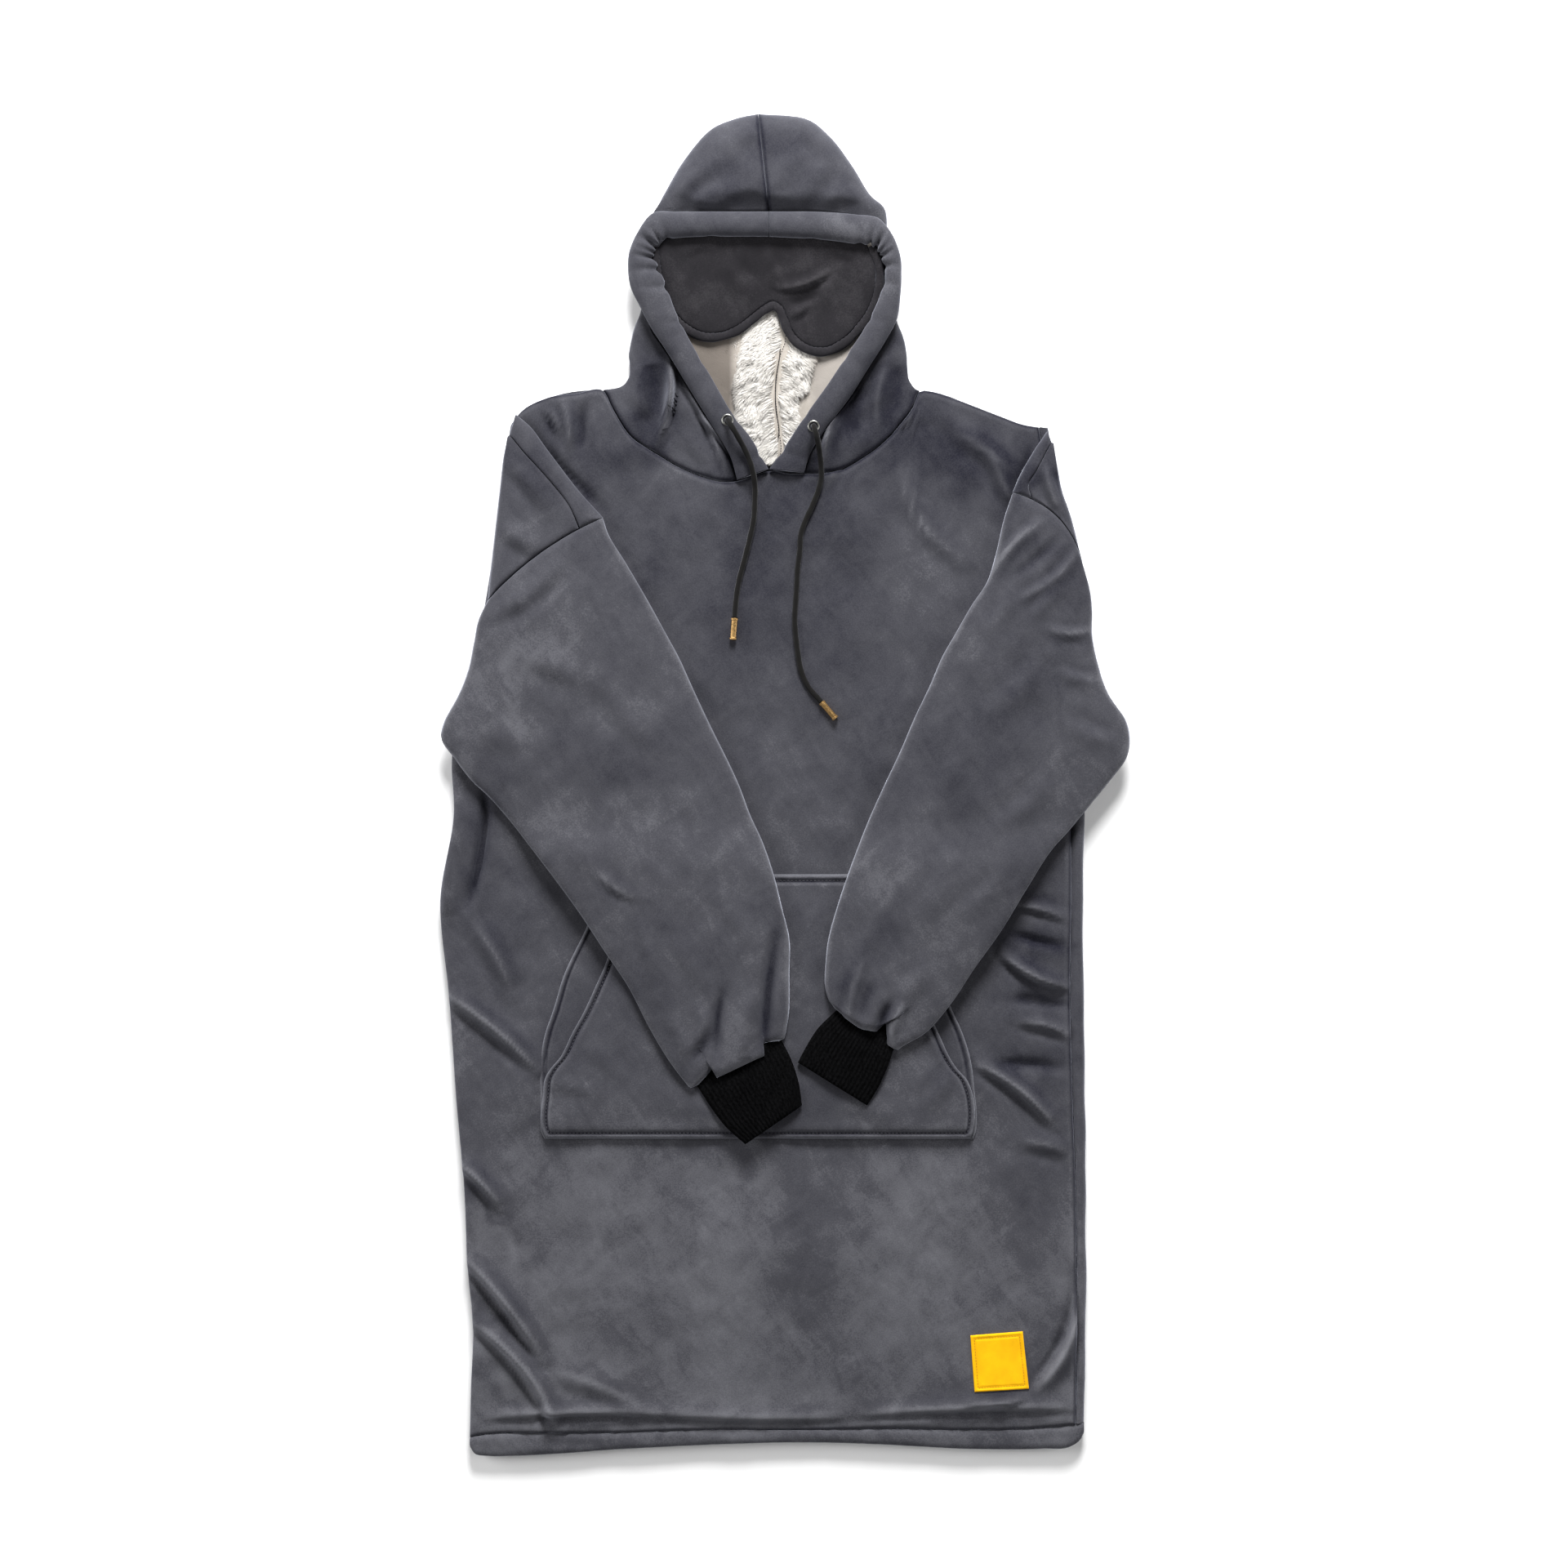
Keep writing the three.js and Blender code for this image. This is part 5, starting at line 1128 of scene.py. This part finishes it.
def shoulder_cloth(rows, armhole, start, end, keys, drop_at):
    shares = np.linspace(0, 1, SHOULDER_COLUMNS)
    first, second = (points_of(rows, key)[:, None, :] for key in keys)
    control = first + (second - first) * shares[None, :, None]
    head = {name: column[:1] for name, column in armhole.items()}
    line = section_places(head, 2 * (start + (end - start) * shares) - 1)
    line[..., 1] += ARMHOLE_GAP
    control = np.concatenate([control, line])
    knots = knots_of(control.mean(axis=1))
    place = smooth_rows(control, knots, spread(knots[-1], STEP["shoulder"]))
    x, y = place[..., 0], place[..., 1]
    down = knots_of(place.mean(axis=1))[:, None]
    dip = np.maximum(rounded("seam", down), rounded("seam", down[-1] - down))
    top = SLEEVE_UNDER + SHOULDER_HIGH + creases_at(SHOULDER_CREASES, x, y) + ripples("shoulder", x, y)
    top = top - np.maximum(dip, drop_at(shares)[None, :])
    return wall(spots(x, y, top), spots(x, y, SLEEVE_UNDER))


# How far a folded side lies below the middle, at a share of the width in from it
def fold_round(share, reach, drop):
    return drop * (1 - roundness(1 - np.clip(share / reach, 0, 1), 2))


# Each strip's place across the armhole, its two sides and how they round down: reach as a share, and drop
SHOULDER_STRIPS = {
    "back": ((0, SHOULDER_SEAM[0]), ("sideX sideY", "seamX seamY"), (0.16, 8), (0.05, 2.6)),
    "front": ((SHOULDER_SEAM[1], 1), ("seamX seamY", "foldX foldY"), (0.22, 2.4), (0.6, 9.5))}


def shoulder_pieces(side, rows, armhole):
    for part, ((start, end), keys, first, last) in SHOULDER_STRIPS.items():
        def drop_at(share):
            return np.maximum(fold_round(share, *first), fold_round(1 - share, *last))

        shape = shoulder_cloth(rows, armhole, start, end, keys, drop_at)
        plush_piece("shoulder_cloth_%s_%s" % (part, side), shape, "shoulder_fold_%s_%s" % (part, side),
                    SHOULDER_CREASES)


shoulder_pieces("left", SHOULDER_LEFT, SLEEVE_LEFT)
shoulder_pieces("right", SHOULDER_RIGHT, SLEEVE_RIGHT)


# Hood: points across each section over the cheek and back beneath it
HOOD_OVER = 46
HOOD_UNDER = 22
NECK_STEPS = 60
NECK_GAP = 1.5 * SEAM_GAP
MIDDLE_GAP = 0.3
WIDEST_INSET = 0.8
OVER_POWER = 3
UNDER_POWER = 6


def neck_chain(edge, start, side_spot, is_left):
    x = np.linspace(start, side_spot[0], NECK_STEPS)
    inward = SEAM_GAP if is_left else -SEAM_GAP
    chain = spots(x + inward, edge(x) + NECK_GAP)
    chain[-1] = (side_spot[0] + inward, side_spot[1] + NECK_GAP)
    return chain


def hood_line(rows, k, inset, is_left):
    row = {name: column[k] for name, column in rows.items()}
    middle = HOOD_MIDDLE + (-MIDDLE_GAP if is_left else MIDDLE_GAP)
    side = np.array([row["sideX"], row["sideY"]])
    out = np.array([row["outX"], row["outY"]])
    into = np.array([row["inX"], row["inY"]]) - out
    face = out + into / np.linalg.norm(into) * row["tuck"]
    back = np.array([middle, row["backY"]])
    over = neck_chain(front_edge, row["outX"], side, is_left) if k == 0 else np.stack([face, side])
    beneath = neck_chain(back_edge, middle, side, is_left) if k == 0 else np.stack([back, side])
    width = np.linalg.norm(face - side)
    reach = 1 - min(inset, WIDEST_INSET * width) / width
    curl = min(row["high"] / 2, CURL_LEVEL)
    turn = along(beneath, 1 - inset / abs(row["sideX"] - middle)) if k == 0 else along(over, reach)
    s = np.sin(np.pi / 2 * np.linspace(0, 1, HOOD_OVER + 1))
    place = along(over, s * reach)
    place[-1] = turn
    z = curl + (row["high"] - inset - curl) * roundness(s, OVER_POWER)
    upper = np.concatenate([place, z[:, None]], axis=1)
    s = np.sin(np.pi / 2 * np.linspace(0, 1, HOOD_UNDER + 1))[-2::-1]
    place = along(beneath, s) + (turn - beneath[-1]) * (s ** UNDER_POWER)[:, None]
    z = curl - (curl - inset) * roundness(s, UNDER_POWER)
    return np.concatenate([upper, np.concatenate([place, z[:, None]], axis=1)])


# Painted shade along the hood's seams at the neck and the middle
HOOD_SEAM_PAINTED_SHADE = table("at width shade", (0, 2.4, -1.8))

# The valley beside the casing: its depth below it, the least depth, its width and how far that varies
VALLEY = {"below": 5, "least": 2.2, "reach": 17, "limits": (0.4, 1.8)}


# The length along each ring of points
def knots_along(rings):
    steps = np.linalg.norm(np.diff(rings, axis=1), axis=-1)
    return np.concatenate([np.zeros((len(rings), 1)), np.cumsum(steps, axis=1)], axis=1)


def hood_cloth(rows, is_left):
    knots = knots_of(points_of(rows, "outX outY"))
    shares = spread(knots[-1], STEP["hood"])
    layers = []
    for inset in (0, WALL):
        control = np.stack([hood_line(rows, k, inset, is_left) for k in range(len(rows["outX"]))])
        layers.append(smooth_rows(control, knots, shares))
    outer, inner = layers
    x, y = outer[..., 0], outer[..., 1]
    over = slice(HOOD_OVER + 1)
    weight = np.zeros(outer.shape[1])
    weight[over] = roundness(np.sin(np.pi / 2 * np.linspace(0, 1, HOOD_OVER + 1)), OVER_POWER)
    length = knots_along(outer.swapaxes(0, 1)).T
    dip = rounded("seam", length) + rounded("hood middle", length[-1] - length)
    sunk = np.maximum(rows["high"] - rows["casing"] + VALLEY["below"], VALLEY["least"])
    sunk = np.interp(shares * knots[-1], knots, np.where(rows["tuck"] < 0, sunk, 0))[:, None]
    uneven = np.clip(1 + ripples("valley", x, y), *VALLEY["limits"])
    away = knots_along(outer[:, over]) / (VALLEY["reach"] * uneven[:, over])
    for layer in layers:
        layer[:, over, 2] -= sunk * (1 - smoothstep(away, 0, 1))
    rise = creases_at(HOOD_CREASES, x, y) + ripples("hood", x, y)
    outer[..., 2] += weight * (rise - dip)
    return *wall(outer, inner), edge_painted_light(HOOD_SEAM_PAINTED_SHADE, np.minimum(length, length[-1] - length))


# The casing is the hood's edge folded over its cord, gathered a little at the two upper corners
GATHERS = table("at width depth",
    (14, 4, 1.2), (52, 5, 0.5), (118, 6, 0.8), (166, 5, 1), (203, 4, 1.6), (221, 3.4, 2.6),
    (234, 2.4, 3.4), (241, 2, 2), (250, 2.8, 5.4), (260, 2.2, 2.4), (271, 4, 1.4), (318, 6, 0.6))
CASING_RING = 30
CASING_TOP = 40
CASING_WAVE = {"height": 0.3, "length": 40}

# The right casing's gathers lie a little further on; all are deepest outside and draw the casing in
GATHER_SHIFT = 2
GATHER_LEAN = (0.6, 0.4)
GATHER_DRAWN = 0.05


def casing_cloth(rows, seed):
    length = knots_of(middle_line(rows, "outX outY", "inX inY"))[-1]
    fine = smooth(rows, "outX outY inX inY", spread(length, STEP["casing"]))
    at = knots_of(middle_line(fine, "outX outY", "inX inY"))
    angle = 2 * math.pi * np.arange(CASING_RING) / CASING_RING
    out = points_of(fine, "outX outY")[:, None, :]
    into = points_of(fine, "inX inY")[:, None, :]
    pinch = np.zeros_like(at)
    for place, width, depth in zip(*GATHERS.values()):
        pinch += depth * np.exp(-((at - place - GATHER_SHIFT * seed) / width) ** 2)
    wave = CASING_WAVE["height"] * waves(at, 0, CASING_WAVE["length"], seed)
    half = fine["half"] + wave - rounded("casing end", at[-1] - at)
    lean = GATHER_LEAN[0] - GATHER_LEAN[1] * np.cos(angle)
    share = (1 - np.cos(angle)) / 2
    drawn = 1 - GATHER_DRAWN * pinch[:, None] * lean[None, :]
    place = out + (into - out) * (share[None, :] * drawn)[..., None]
    z = fine["casing"][:, None] + (half[:, None] - pinch[:, None] * lean[None, :]) * np.sin(angle)[None, :]
    return band(np.concatenate([place, np.minimum(z, CASING_TOP)[..., None]], axis=-1))


# The lining's edges are let down by no more than a share of its thickness
LINING_SHARE = 0.7


def lining_cloth(is_left):
    fine = smooth(LINING, "y left right", spread(*GRID["lining rows"]))
    across = spread(*GRID["lining columns"])[None, :]
    edge = (fine["left"] if is_left else fine["right"])[:, None]
    seam = fine["seam"][:, None] + (-SEAM_GAP if is_left else SEAM_GAP)
    x = edge + across * (seam - edge)
    y = np.broadcast_to(fine["y"][:, None], x.shape)
    drop = rounded("lining seam", np.abs(seam - x)) + rounded("lining side", np.abs(x - edge))
    top = fine["top"][:, None]
    top = top - np.minimum(drop, LINING_SHARE * (top - LINING_UNDER)) + ripples("lining", x, y)
    return wall(spots(x, y, top), spots(x, y, LINING_UNDER))


# Long pile: tapered fibres in locks, longest beside the centre seam and lying down towards the neck
PILE_FIBRES = 38000
PILE_LEVELS = (313, 476)
PILE_REACH = {"left": 37, "right": 30, "low": 14, "level": 385}
PILE_TOPS = {"level": 410, "above": 12.8, "below": 22}
PILE_WAVES = {"lie": (0.4, 34), "lift": (0.2, 14), "shift": 40}
LOCK = {"long": 11, "wide": 3.2, "pull": (0.1, 0.2), "raised": 0.7}

# A fibre's root and lengths, then how it lies and stands, then its elbow, width and shade
FIBRE = {
    "clear": 1.9, "sunk": 1.2, "crowded": 0.8, "fades": (0.86, 1.04), "short": 2.2, "long": 9,
    "longer": (0.6, 1.15), "uneven": (-0.6, 0.6), "turn": 0.9, "astray": 0.16, "stand": (0.22, 0.26),
    "unsteady": 0.12, "lifts": (0.1, 1), "elbow": 0.55, "arched": 0.14, "twist": 0.35,
    "widths": (0.18, 0.34), "narrow": 0.8, "lock_shade": 0.25, "own_shade": 0.5,
    "shades": (0, 0, 0.15, 0.15, 0.3)}


def lining_pile(is_left, seed):
    random = np.random.default_rng(seed)
    y = random.uniform(*PILE_LEVELS, PILE_FIBRES)
    edge = reader(LINING, "y", "left" if is_left else "right")(y)
    out = -1 if is_left else 1
    seam = reader(LINING_SEAM, "y", "x")(y) + out * FIBRE["clear"]
    share = random.uniform(0, 1, PILE_FIBRES) ** FIBRE["crowded"]
    x = seam + share * (edge - seam)
    low = PILE_REACH["low"]
    reach = PILE_REACH["right"] - low * smoothstep(PILE_REACH["level"] - y, 0, low)
    reach = np.where(x < seam, PILE_REACH["left"], reach)
    near_seam = 1 - smoothstep(np.abs(x - seam) / reach, *FIBRE["fades"])
    base = spots(x, y, reader(LINING, "y", "top")(y) - FIBRE["sunk"])
    length = FIBRE["short"] + FIBRE["long"] * near_seam * random.uniform(*FIBRE["longer"], PILE_FIBRES)
    length = length + random.uniform(*FIBRE["uneven"], PILE_FIBRES)
    brushed = out * FIBRE["turn"] - math.pi / 2
    swing, span = PILE_WAVES["lie"]
    lie = brushed + swing * waves(x, y, span, seed) + FIBRE["astray"] * random.normal(0, 1, PILE_FIBRES)
    least, more = FIBRE["stand"]
    rise, span = PILE_WAVES["lift"]
    lift = least + more * near_seam + rise * waves(x + PILE_WAVES["shift"], y, span, seed + 1)
    lift = np.clip(lift + random.normal(0, FIBRE["unsteady"], PILE_FIBRES), *FIBRE["lifts"])
    aim = spots(np.cos(lie) * np.cos(lift), np.sin(lie) * np.cos(lift), np.sin(lift))
    tip = base + aim * length[:, None]
    run = x * math.cos(brushed) + y * math.sin(brushed)
    aside = y * math.cos(brushed) - x * math.sin(brushed)
    run = run / LOCK["long"] + ripples("lock run", x, y)
    aside = aside / LOCK["wide"] + ripples("lock aside", x, y)
    keys, member = np.unique(np.round(spots(run, aside)), axis=0, return_inverse=True)
    member = member.ravel()
    count = np.bincount(member)
    heart = spots(*(np.bincount(member, axis) / count for axis in tip.T))[member]
    least, more = LOCK["pull"]
    pull = (least + more * near_seam)[:, None]
    tip = tip + (heart - tip) * pull + np.array([0, 0, LOCK["raised"]]) * near_seam[:, None]
    tops = np.where(y > PILE_TOPS["level"], PILE_TOPS["above"], PILE_TOPS["below"])
    tip[:, 2] = np.minimum(tip[:, 2], tops)
    elbow = base + (tip - base) * FIBRE["elbow"] + np.array([0, 0, FIBRE["arched"]]) * length[:, None]
    aside = np.cross(tip - base, random.normal(0, FIBRE["twist"], (PILE_FIBRES, 3)) + (0, 0, 1))
    aside /= np.maximum(np.linalg.norm(aside, axis=1), 0.001)[:, None]
    wide = aside * random.uniform(*FIBRE["widths"], PILE_FIBRES)[:, None]
    narrow = wide * FIBRE["narrow"]
    corners = [base - wide, base + wide, elbow + narrow, elbow - narrow, tip]
    points = np.stack(corners, axis=1).reshape(-1, 3)
    first = len(corners) * np.arange(PILE_FIBRES)[:, None]
    quads = first + np.array([[0, 1, 2, 3]])
    ends = first + np.array([[3, 2, 4, 4]])
    # Each fibre's tone: uneven by lock and by fibre, and darker towards its root as painted shade
    shade = random.uniform(0, FIBRE["lock_shade"], len(keys))[member]
    shade = shade + random.uniform(0, FIBRE["own_shade"], PILE_FIBRES)
    shade = shade[:, None] + np.array(FIBRE["shades"])
    return points, np.concatenate([quads, ends]), shade.ravel()


# Mask panel and its bound edge
MASK_PLUMP = 2
BINDING_RING = 20


def mask_level(y):
    rise = smoothstep(y, MASK_LEVEL["from"], MASK_LEVEL["to"])
    return MASK_LEVEL["low"] + rise * (MASK_LEVEL["high"] - MASK_LEVEL["low"])


def mask_outline(step):
    points = spots(MASK["x"], MASK["y"])
    knots = knots_of(points)
    return smooth_rows(points, knots, np.linspace(0, 1, int(knots[-1] / step)))


def mask_cloth():
    foot = mask_outline(STEP["mask"])
    head = along(np.array(MASK_TOP, float), np.linspace(0, 1, len(foot)))
    down = spread(*GRID["mask rows"])[None, :, None]
    place = head[:, None, :] + down * (foot - head)[:, None, :]
    x, y = place[..., 0], place[..., 1]
    edge = np.min(np.linalg.norm(place[:, :, None, :] - foot[None, None, ::2, :], axis=-1), axis=-1)
    plump = MASK_PLUMP * (1 - rounded("mask cushion", edge))
    top = mask_level(y) + plump - rounded("mask edge", edge) + creases_at(MASK_CREASES, x, y)
    return wall(spots(x, y, top + ripples("mask", x, y)), spots(x, y, mask_level(y) - MASK_WALL))


def binding_cloth():
    path = mask_outline(STEP["binding"])
    run = np.gradient(path, axis=0)
    run /= np.linalg.norm(run, axis=1)[:, None]
    aside = spots(run[:, 1], -run[:, 0])
    path = path + BINDING["offset"] * aside
    angle = 2 * math.pi * np.arange(BINDING_RING) / BINDING_RING
    swell = (1 + ripples("binding", knots_of(path), 0))[:, None]
    across = BINDING["half_width"] * np.cos(angle)[None, :] * swell
    place = path[:, None, :] + aside[:, None, :] * across[..., None]
    level = (mask_level(path[:, 1]) - MASK_WALL / 2 + BINDING["raised"])[:, None]
    z = level + BINDING["half_height"] * np.sin(angle)[None, :] * swell
    return band(np.concatenate([place, z[..., None]], axis=-1))


# Stitches: short spindles of thread along a line, six points each; their pitch, length and thickness
LINING_STITCH = (2.5, 2.3, 1)
POCKET_STITCH = (3.6, 2.9, 0.7)
LABEL_STITCH = (2.6, 2.1, 0.55)
AHEAD = 0.002


def stitches(lines, pitch, length, thick):
    points = []
    faces = []
    for line in lines:
        knots = knots_of(line)
        count = max(2, int(knots[-1] / pitch))
        shares = (np.arange(count) + 0.5) / count
        heart = along(line, shares)
        ahead = along(line, np.clip(shares + AHEAD, 0, 1)) - heart
        ahead /= np.linalg.norm(ahead, axis=1)[:, None]
        side = np.cross(ahead, (0, 0, 1))
        up = np.cross(side, ahead)
        half, side, up = ahead * length / 2, side * thick / 2, up * thick / 2
        ring = [heart - half - up, heart + side, heart + up, heart - side, heart - up, heart + half - up]
        first = sum(len(group) for group in points) + len(ring) * np.arange(count)[:, None]
        points.append(np.stack(ring, axis=1).reshape(-1, 3))
        for near, far in ((1, 2), (2, 3), (3, 4), (4, 1)):
            faces.append(first + np.array([[0, far, near, near]]))
            faces.append(first + np.array([[5, near, far, far]]))
    return np.concatenate(points), np.concatenate(faces)


LINING_SEAM_LEVEL = 15
LINING_SEAM_STEPS = 90


def lining_seam():
    rows = smooth(LINING_SEAM, "x y", np.linspace(0, 1, LINING_SEAM_STEPS))
    return spots(rows["x"], rows["y"], LINING_SEAM_LEVEL)


for side, rows, is_left, seed in (("left", HOOD_LEFT, True, 20), ("right", HOOD_RIGHT, False, 22)):
    plush_piece("hood_cloth_" + side, hood_cloth(rows, is_left), "hood_" + side, HOOD_CREASES)
    plush_piece("hood_edge_" + side, casing_cloth(rows, 0 if is_left else 1), "hood_casing_" + side)
    piece("lining_cloth_" + side, lining_cloth(is_left), PILE_BASE, ["hood_lining_" + side])
    piece("lining_pile_" + side, lining_pile(is_left, seed), PILE)


piece("lining_stitches", stitches([lining_seam()], *LINING_STITCH), CORD_BLACK)
piece("mask_cloth", mask_cloth(), MASK_PLUSH, ["eye_mask"], MASK_CREASES)
piece("mask_edge", binding_cloth(), MASK_PLUSH, ["eye_mask_binding"])


# Pocket: the layer behind it has a rolled edge beside each hand opening, and its front a stitched hem
POCKET_SIZE = {"rows": 265, "columns": 410}
POCKET_ROUND = 3.4
POCKET_DROP = {"most": 2.4, "share": 0.8}
ROLL = {
    "height": 1.5, "at": 2.2, "width": 1.5, "behind": 4.8, "soft": 0.9, "dip": 0.6, "from": -285, "to": -268}
STITCH_INSET = 5
STITCH_SUNK = 0.6
STITCH_PLACES = 160
GROOVE = {"depth": 2.6, "width": 1.3}
POCKET_PLUMP = ((1.6, 5, 9), (1.4, 9, 34))
# Painted highlight on each pocket edge, painted shade in the groove inside it, and a faint painted highlight
# beyond
POCKET_PAINTED_LIGHT = table("at width shade", (0, 1.6, 0.8), (5, 1.2, -1.8), (7.6, 1.3, 0.45))
LAYER_PAINTED_LIGHT = table("at width shade", (0, 1.6, 0.9), (4.6, 1.1, -1.8), (6.6, 1.2, 0.4))


def pocket_cloth(rows, under, thick, step, is_front):
    fine = smooth(rows, "y left right", spread(POCKET_SIZE["rows"], step))
    left, right = fine["left"][:, None], fine["right"][:, None]
    x = left + spread(POCKET_SIZE["columns"], step)[None, :] * (right - left)
    y = np.broadcast_to(fine["y"][:, None], x.shape)
    beside = np.minimum(x - left, right - x)
    edge = np.minimum(beside, np.minimum(y - y[0], y[-1] - y))
    drop = min(POCKET_DROP["most"], POCKET_DROP["share"] * thick)
    top = under + thick - soft_edge(edge, POCKET_ROUND, drop)
    if is_front:
        groove = GROOVE["depth"] * np.exp(-((edge - STITCH_INSET) / GROOVE["width"]) ** 2)
        plump = sum(height * smoothstep(edge, start, end) for height, start, end in POCKET_PLUMP)
        top = top - groove + plump + creases_at(POCKET_CREASES, x, y) + ripples("pocket", x, y)
        top = top + puckers("pocket", x + y, edge)
    else:
        roll = np.exp(-((beside - ROLL["at"]) / ROLL["width"]) ** 2)
        roll = roll - ROLL["dip"] * np.exp(-((beside - ROLL["behind"]) / ROLL["soft"]) ** 2)
        top = top + ROLL["height"] * roll * smoothstep(y, ROLL["from"], ROLL["to"])
    lines = POCKET_PAINTED_LIGHT if is_front else LAYER_PAINTED_LIGHT
    return *wall(spots(x, y, top), spots(x, y, under)), edge_painted_light(lines, edge)


def pocket_stitch_lines():
    left, right = (reader(POCKET_FRONT, "y", side) for side in ("left", "right"))
    y = np.linspace(POCKET_FRONT["y"][0] + STITCH_INSET, POCKET_FRONT["y"][-1] - STITCH_INSET, STITCH_PLACES)
    z = POCKET_UNDER + POCKET_THICK - STITCH_SUNK
    sides = [spots(left(y) + STITCH_INSET, y, z), spots(right(y) - STITCH_INSET, y, z)]
    ends = []
    for level in (y[0], y[-1]):
        x = np.linspace(left(level) + STITCH_INSET, right(level) - STITCH_INSET, STITCH_PLACES)
        ends.append(spots(x, level, z))
    return sides + ends


layer = pocket_cloth(POCKET_BACKING, ON_FRONT, POCKET_BACKING_THICK, STEP["pocket layer"], False)
plush_piece("pocket_layer", layer, "pocket_backing")
pouch = pocket_cloth(POCKET_FRONT, POCKET_UNDER, POCKET_THICK, STEP["pocket"], True)
plush_piece("pocket_cloth", pouch, "pocket_front", POCKET_CREASES)
piece("pocket_stitches", stitches(pocket_stitch_lines(), *POCKET_STITCH), THREAD)


# Label patch: bare cloth, its edge turned in and stitched down
LABEL_INSET = 0.07
LABEL_PLACES = 56
LABEL_STITCH_PLACES = 40
LABEL_WIDTH = 52
LABEL_LEAST = FRONT_TOP - 0.4
LABEL_GROOVE = {"depth": 0.8, "at": 3.6, "width": 1}
LABEL_SUNK = {"under": 0.3, "stitch": 0.25}


# Places on the patch, the height that they lie at, and how far in from its edge they are
def label_grid(count, inset=0.0):
    shares = inset + (1 - 2 * inset) * np.linspace(0, 1, count)
    down, across = shares[:, None], shares[None, :]
    left, right = (spots(x0 + down * (x1 - x0), y0 + down * (y1 - y0))
                   for x0, y0, x1, y1 in zip(*LABEL.values()))
    place = left + across[..., None] * (right - left)
    x, y = place[..., 0], place[..., 1]
    edge = LABEL_WIDTH * np.minimum(np.minimum(down, 1 - down), np.minimum(across, 1 - across))
    return x, y, np.maximum(front_height(x, y), LABEL_LEAST) + LABEL_CLEAR, edge


def label_cloth():
    x, y, base, edge = label_grid(LABEL_PLACES)
    groove = LABEL_GROOVE["depth"] * np.exp(-((edge - LABEL_GROOVE["at"]) / LABEL_GROOVE["width"]) ** 2)
    top = base + LABEL_THICK - rounded("label", edge) - groove
    return wall(spots(x, y, top), spots(x, y, base - LABEL_SUNK["under"]))


def label_stitch_lines():
    x, y, base, edge = label_grid(LABEL_STITCH_PLACES, LABEL_INSET)
    grid = spots(x, y, base + LABEL_THICK - LABEL_SUNK["stitch"])
    return [grid[0], grid[-1], grid[:, 0], grid[:, -1]]


piece("label_cloth", label_cloth(), PATCH, ["label_patch"])
piece("label_stitches", stitches(label_stitch_lines(), *LABEL_STITCH), YELLOW_THREAD)


# Eyelets: a rolled metal ring
EYELET = {"around": 48, "section": 12, "radius": 4.7, "wide": 1, "high": 0.6}


def eyelet_ring(k):
    around, section = EYELET["around"], EYELET["section"]
    turn = 2 * math.pi * np.arange(around)[:, None] / around
    angle = 2 * math.pi * np.arange(section)[None, :] / section
    x, y, z = (EYELETS[name][k] for name in "xyz")
    radius = EYELET["radius"] + EYELET["wide"] * np.cos(angle)
    rings = spots(x + radius * np.cos(turn), y + radius * np.sin(turn), z + EYELET["high"] * np.sin(angle))
    s = np.arange(section)
    n = (s + 1) % section
    last = (around - 1) * section
    faces = np.concatenate([grid_faces(around, section, True), spots(last + s, last + n, n, s)])
    return outwards(rings.reshape(-1, 3), faces)


for k, side in enumerate(("left", "right")):
    piece("eyelet_ring_" + side, eyelet_ring(k), NICKEL, ["eyelet_" + side])
    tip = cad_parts["cord_tip_" + side]
    tip.data.materials.clear()
    tip.data.materials.append(GOLD)


# Floor and light
FLOOR_SIZE = 9000
FLOOR_DOWN = 0.5
FLOOR_TONES = (0.9, 0.9, 0.9), (0.92, 0.92, 0.92)
LIGHTS = table("x y z size power",
    (200, 2900, 1700, 1300, 262), (-2800, 300, 1400, 2000, 78), (2800, -300, 1500, 2000, 48))
AMBIENT = 0.15


def lay_floor():
    half = FLOOR_SIZE / 2
    corners = [(x, y, -FLOOR_DOWN) for x, y in ((-half, -half), (half, -half), (half, half), (-half, half))]
    floor = mesh_object("floor", np.array(corners), np.array([[0, 1, 2, 3]]))
    look = Look("pale_floor", FLOOR_TONES[0], 0.9)
    look.color(look.blend(look.ramp(look.noise(400, 2), 0.3, 0.7), *FLOOR_TONES))
    floor.data.materials.append(look.material)


def light_scene():
    for i, (x, y, z, size, power) in enumerate(zip(*LIGHTS.values())):
        data = bpy.data.lights.new("softbox_%d" % i, "AREA")
        data.shape = "DISK"
        data.size = size * MM
        data.energy = power
        lamp = bpy.data.objects.new("softbox_%d" % i, data)
        lamp.location = (x * MM, y * MM, z * MM)
        toward = -lamp.location.normalized()
        lamp.rotation_euler = toward.to_track_quat("-Z", "Y").to_euler()
        bpy.context.scene.collection.objects.link(lamp)
    world = bpy.data.worlds.new("studio")
    world.use_nodes = True
    world.node_tree.nodes["Background"].inputs["Color"].default_value = (1, 1, 1, 1)
    world.node_tree.nodes["Background"].inputs["Strength"].default_value = AMBIENT
    bpy.context.scene.world = world
    bpy.context.scene.view_settings.view_transform = "Standard"


lay_floor()
light_scene()
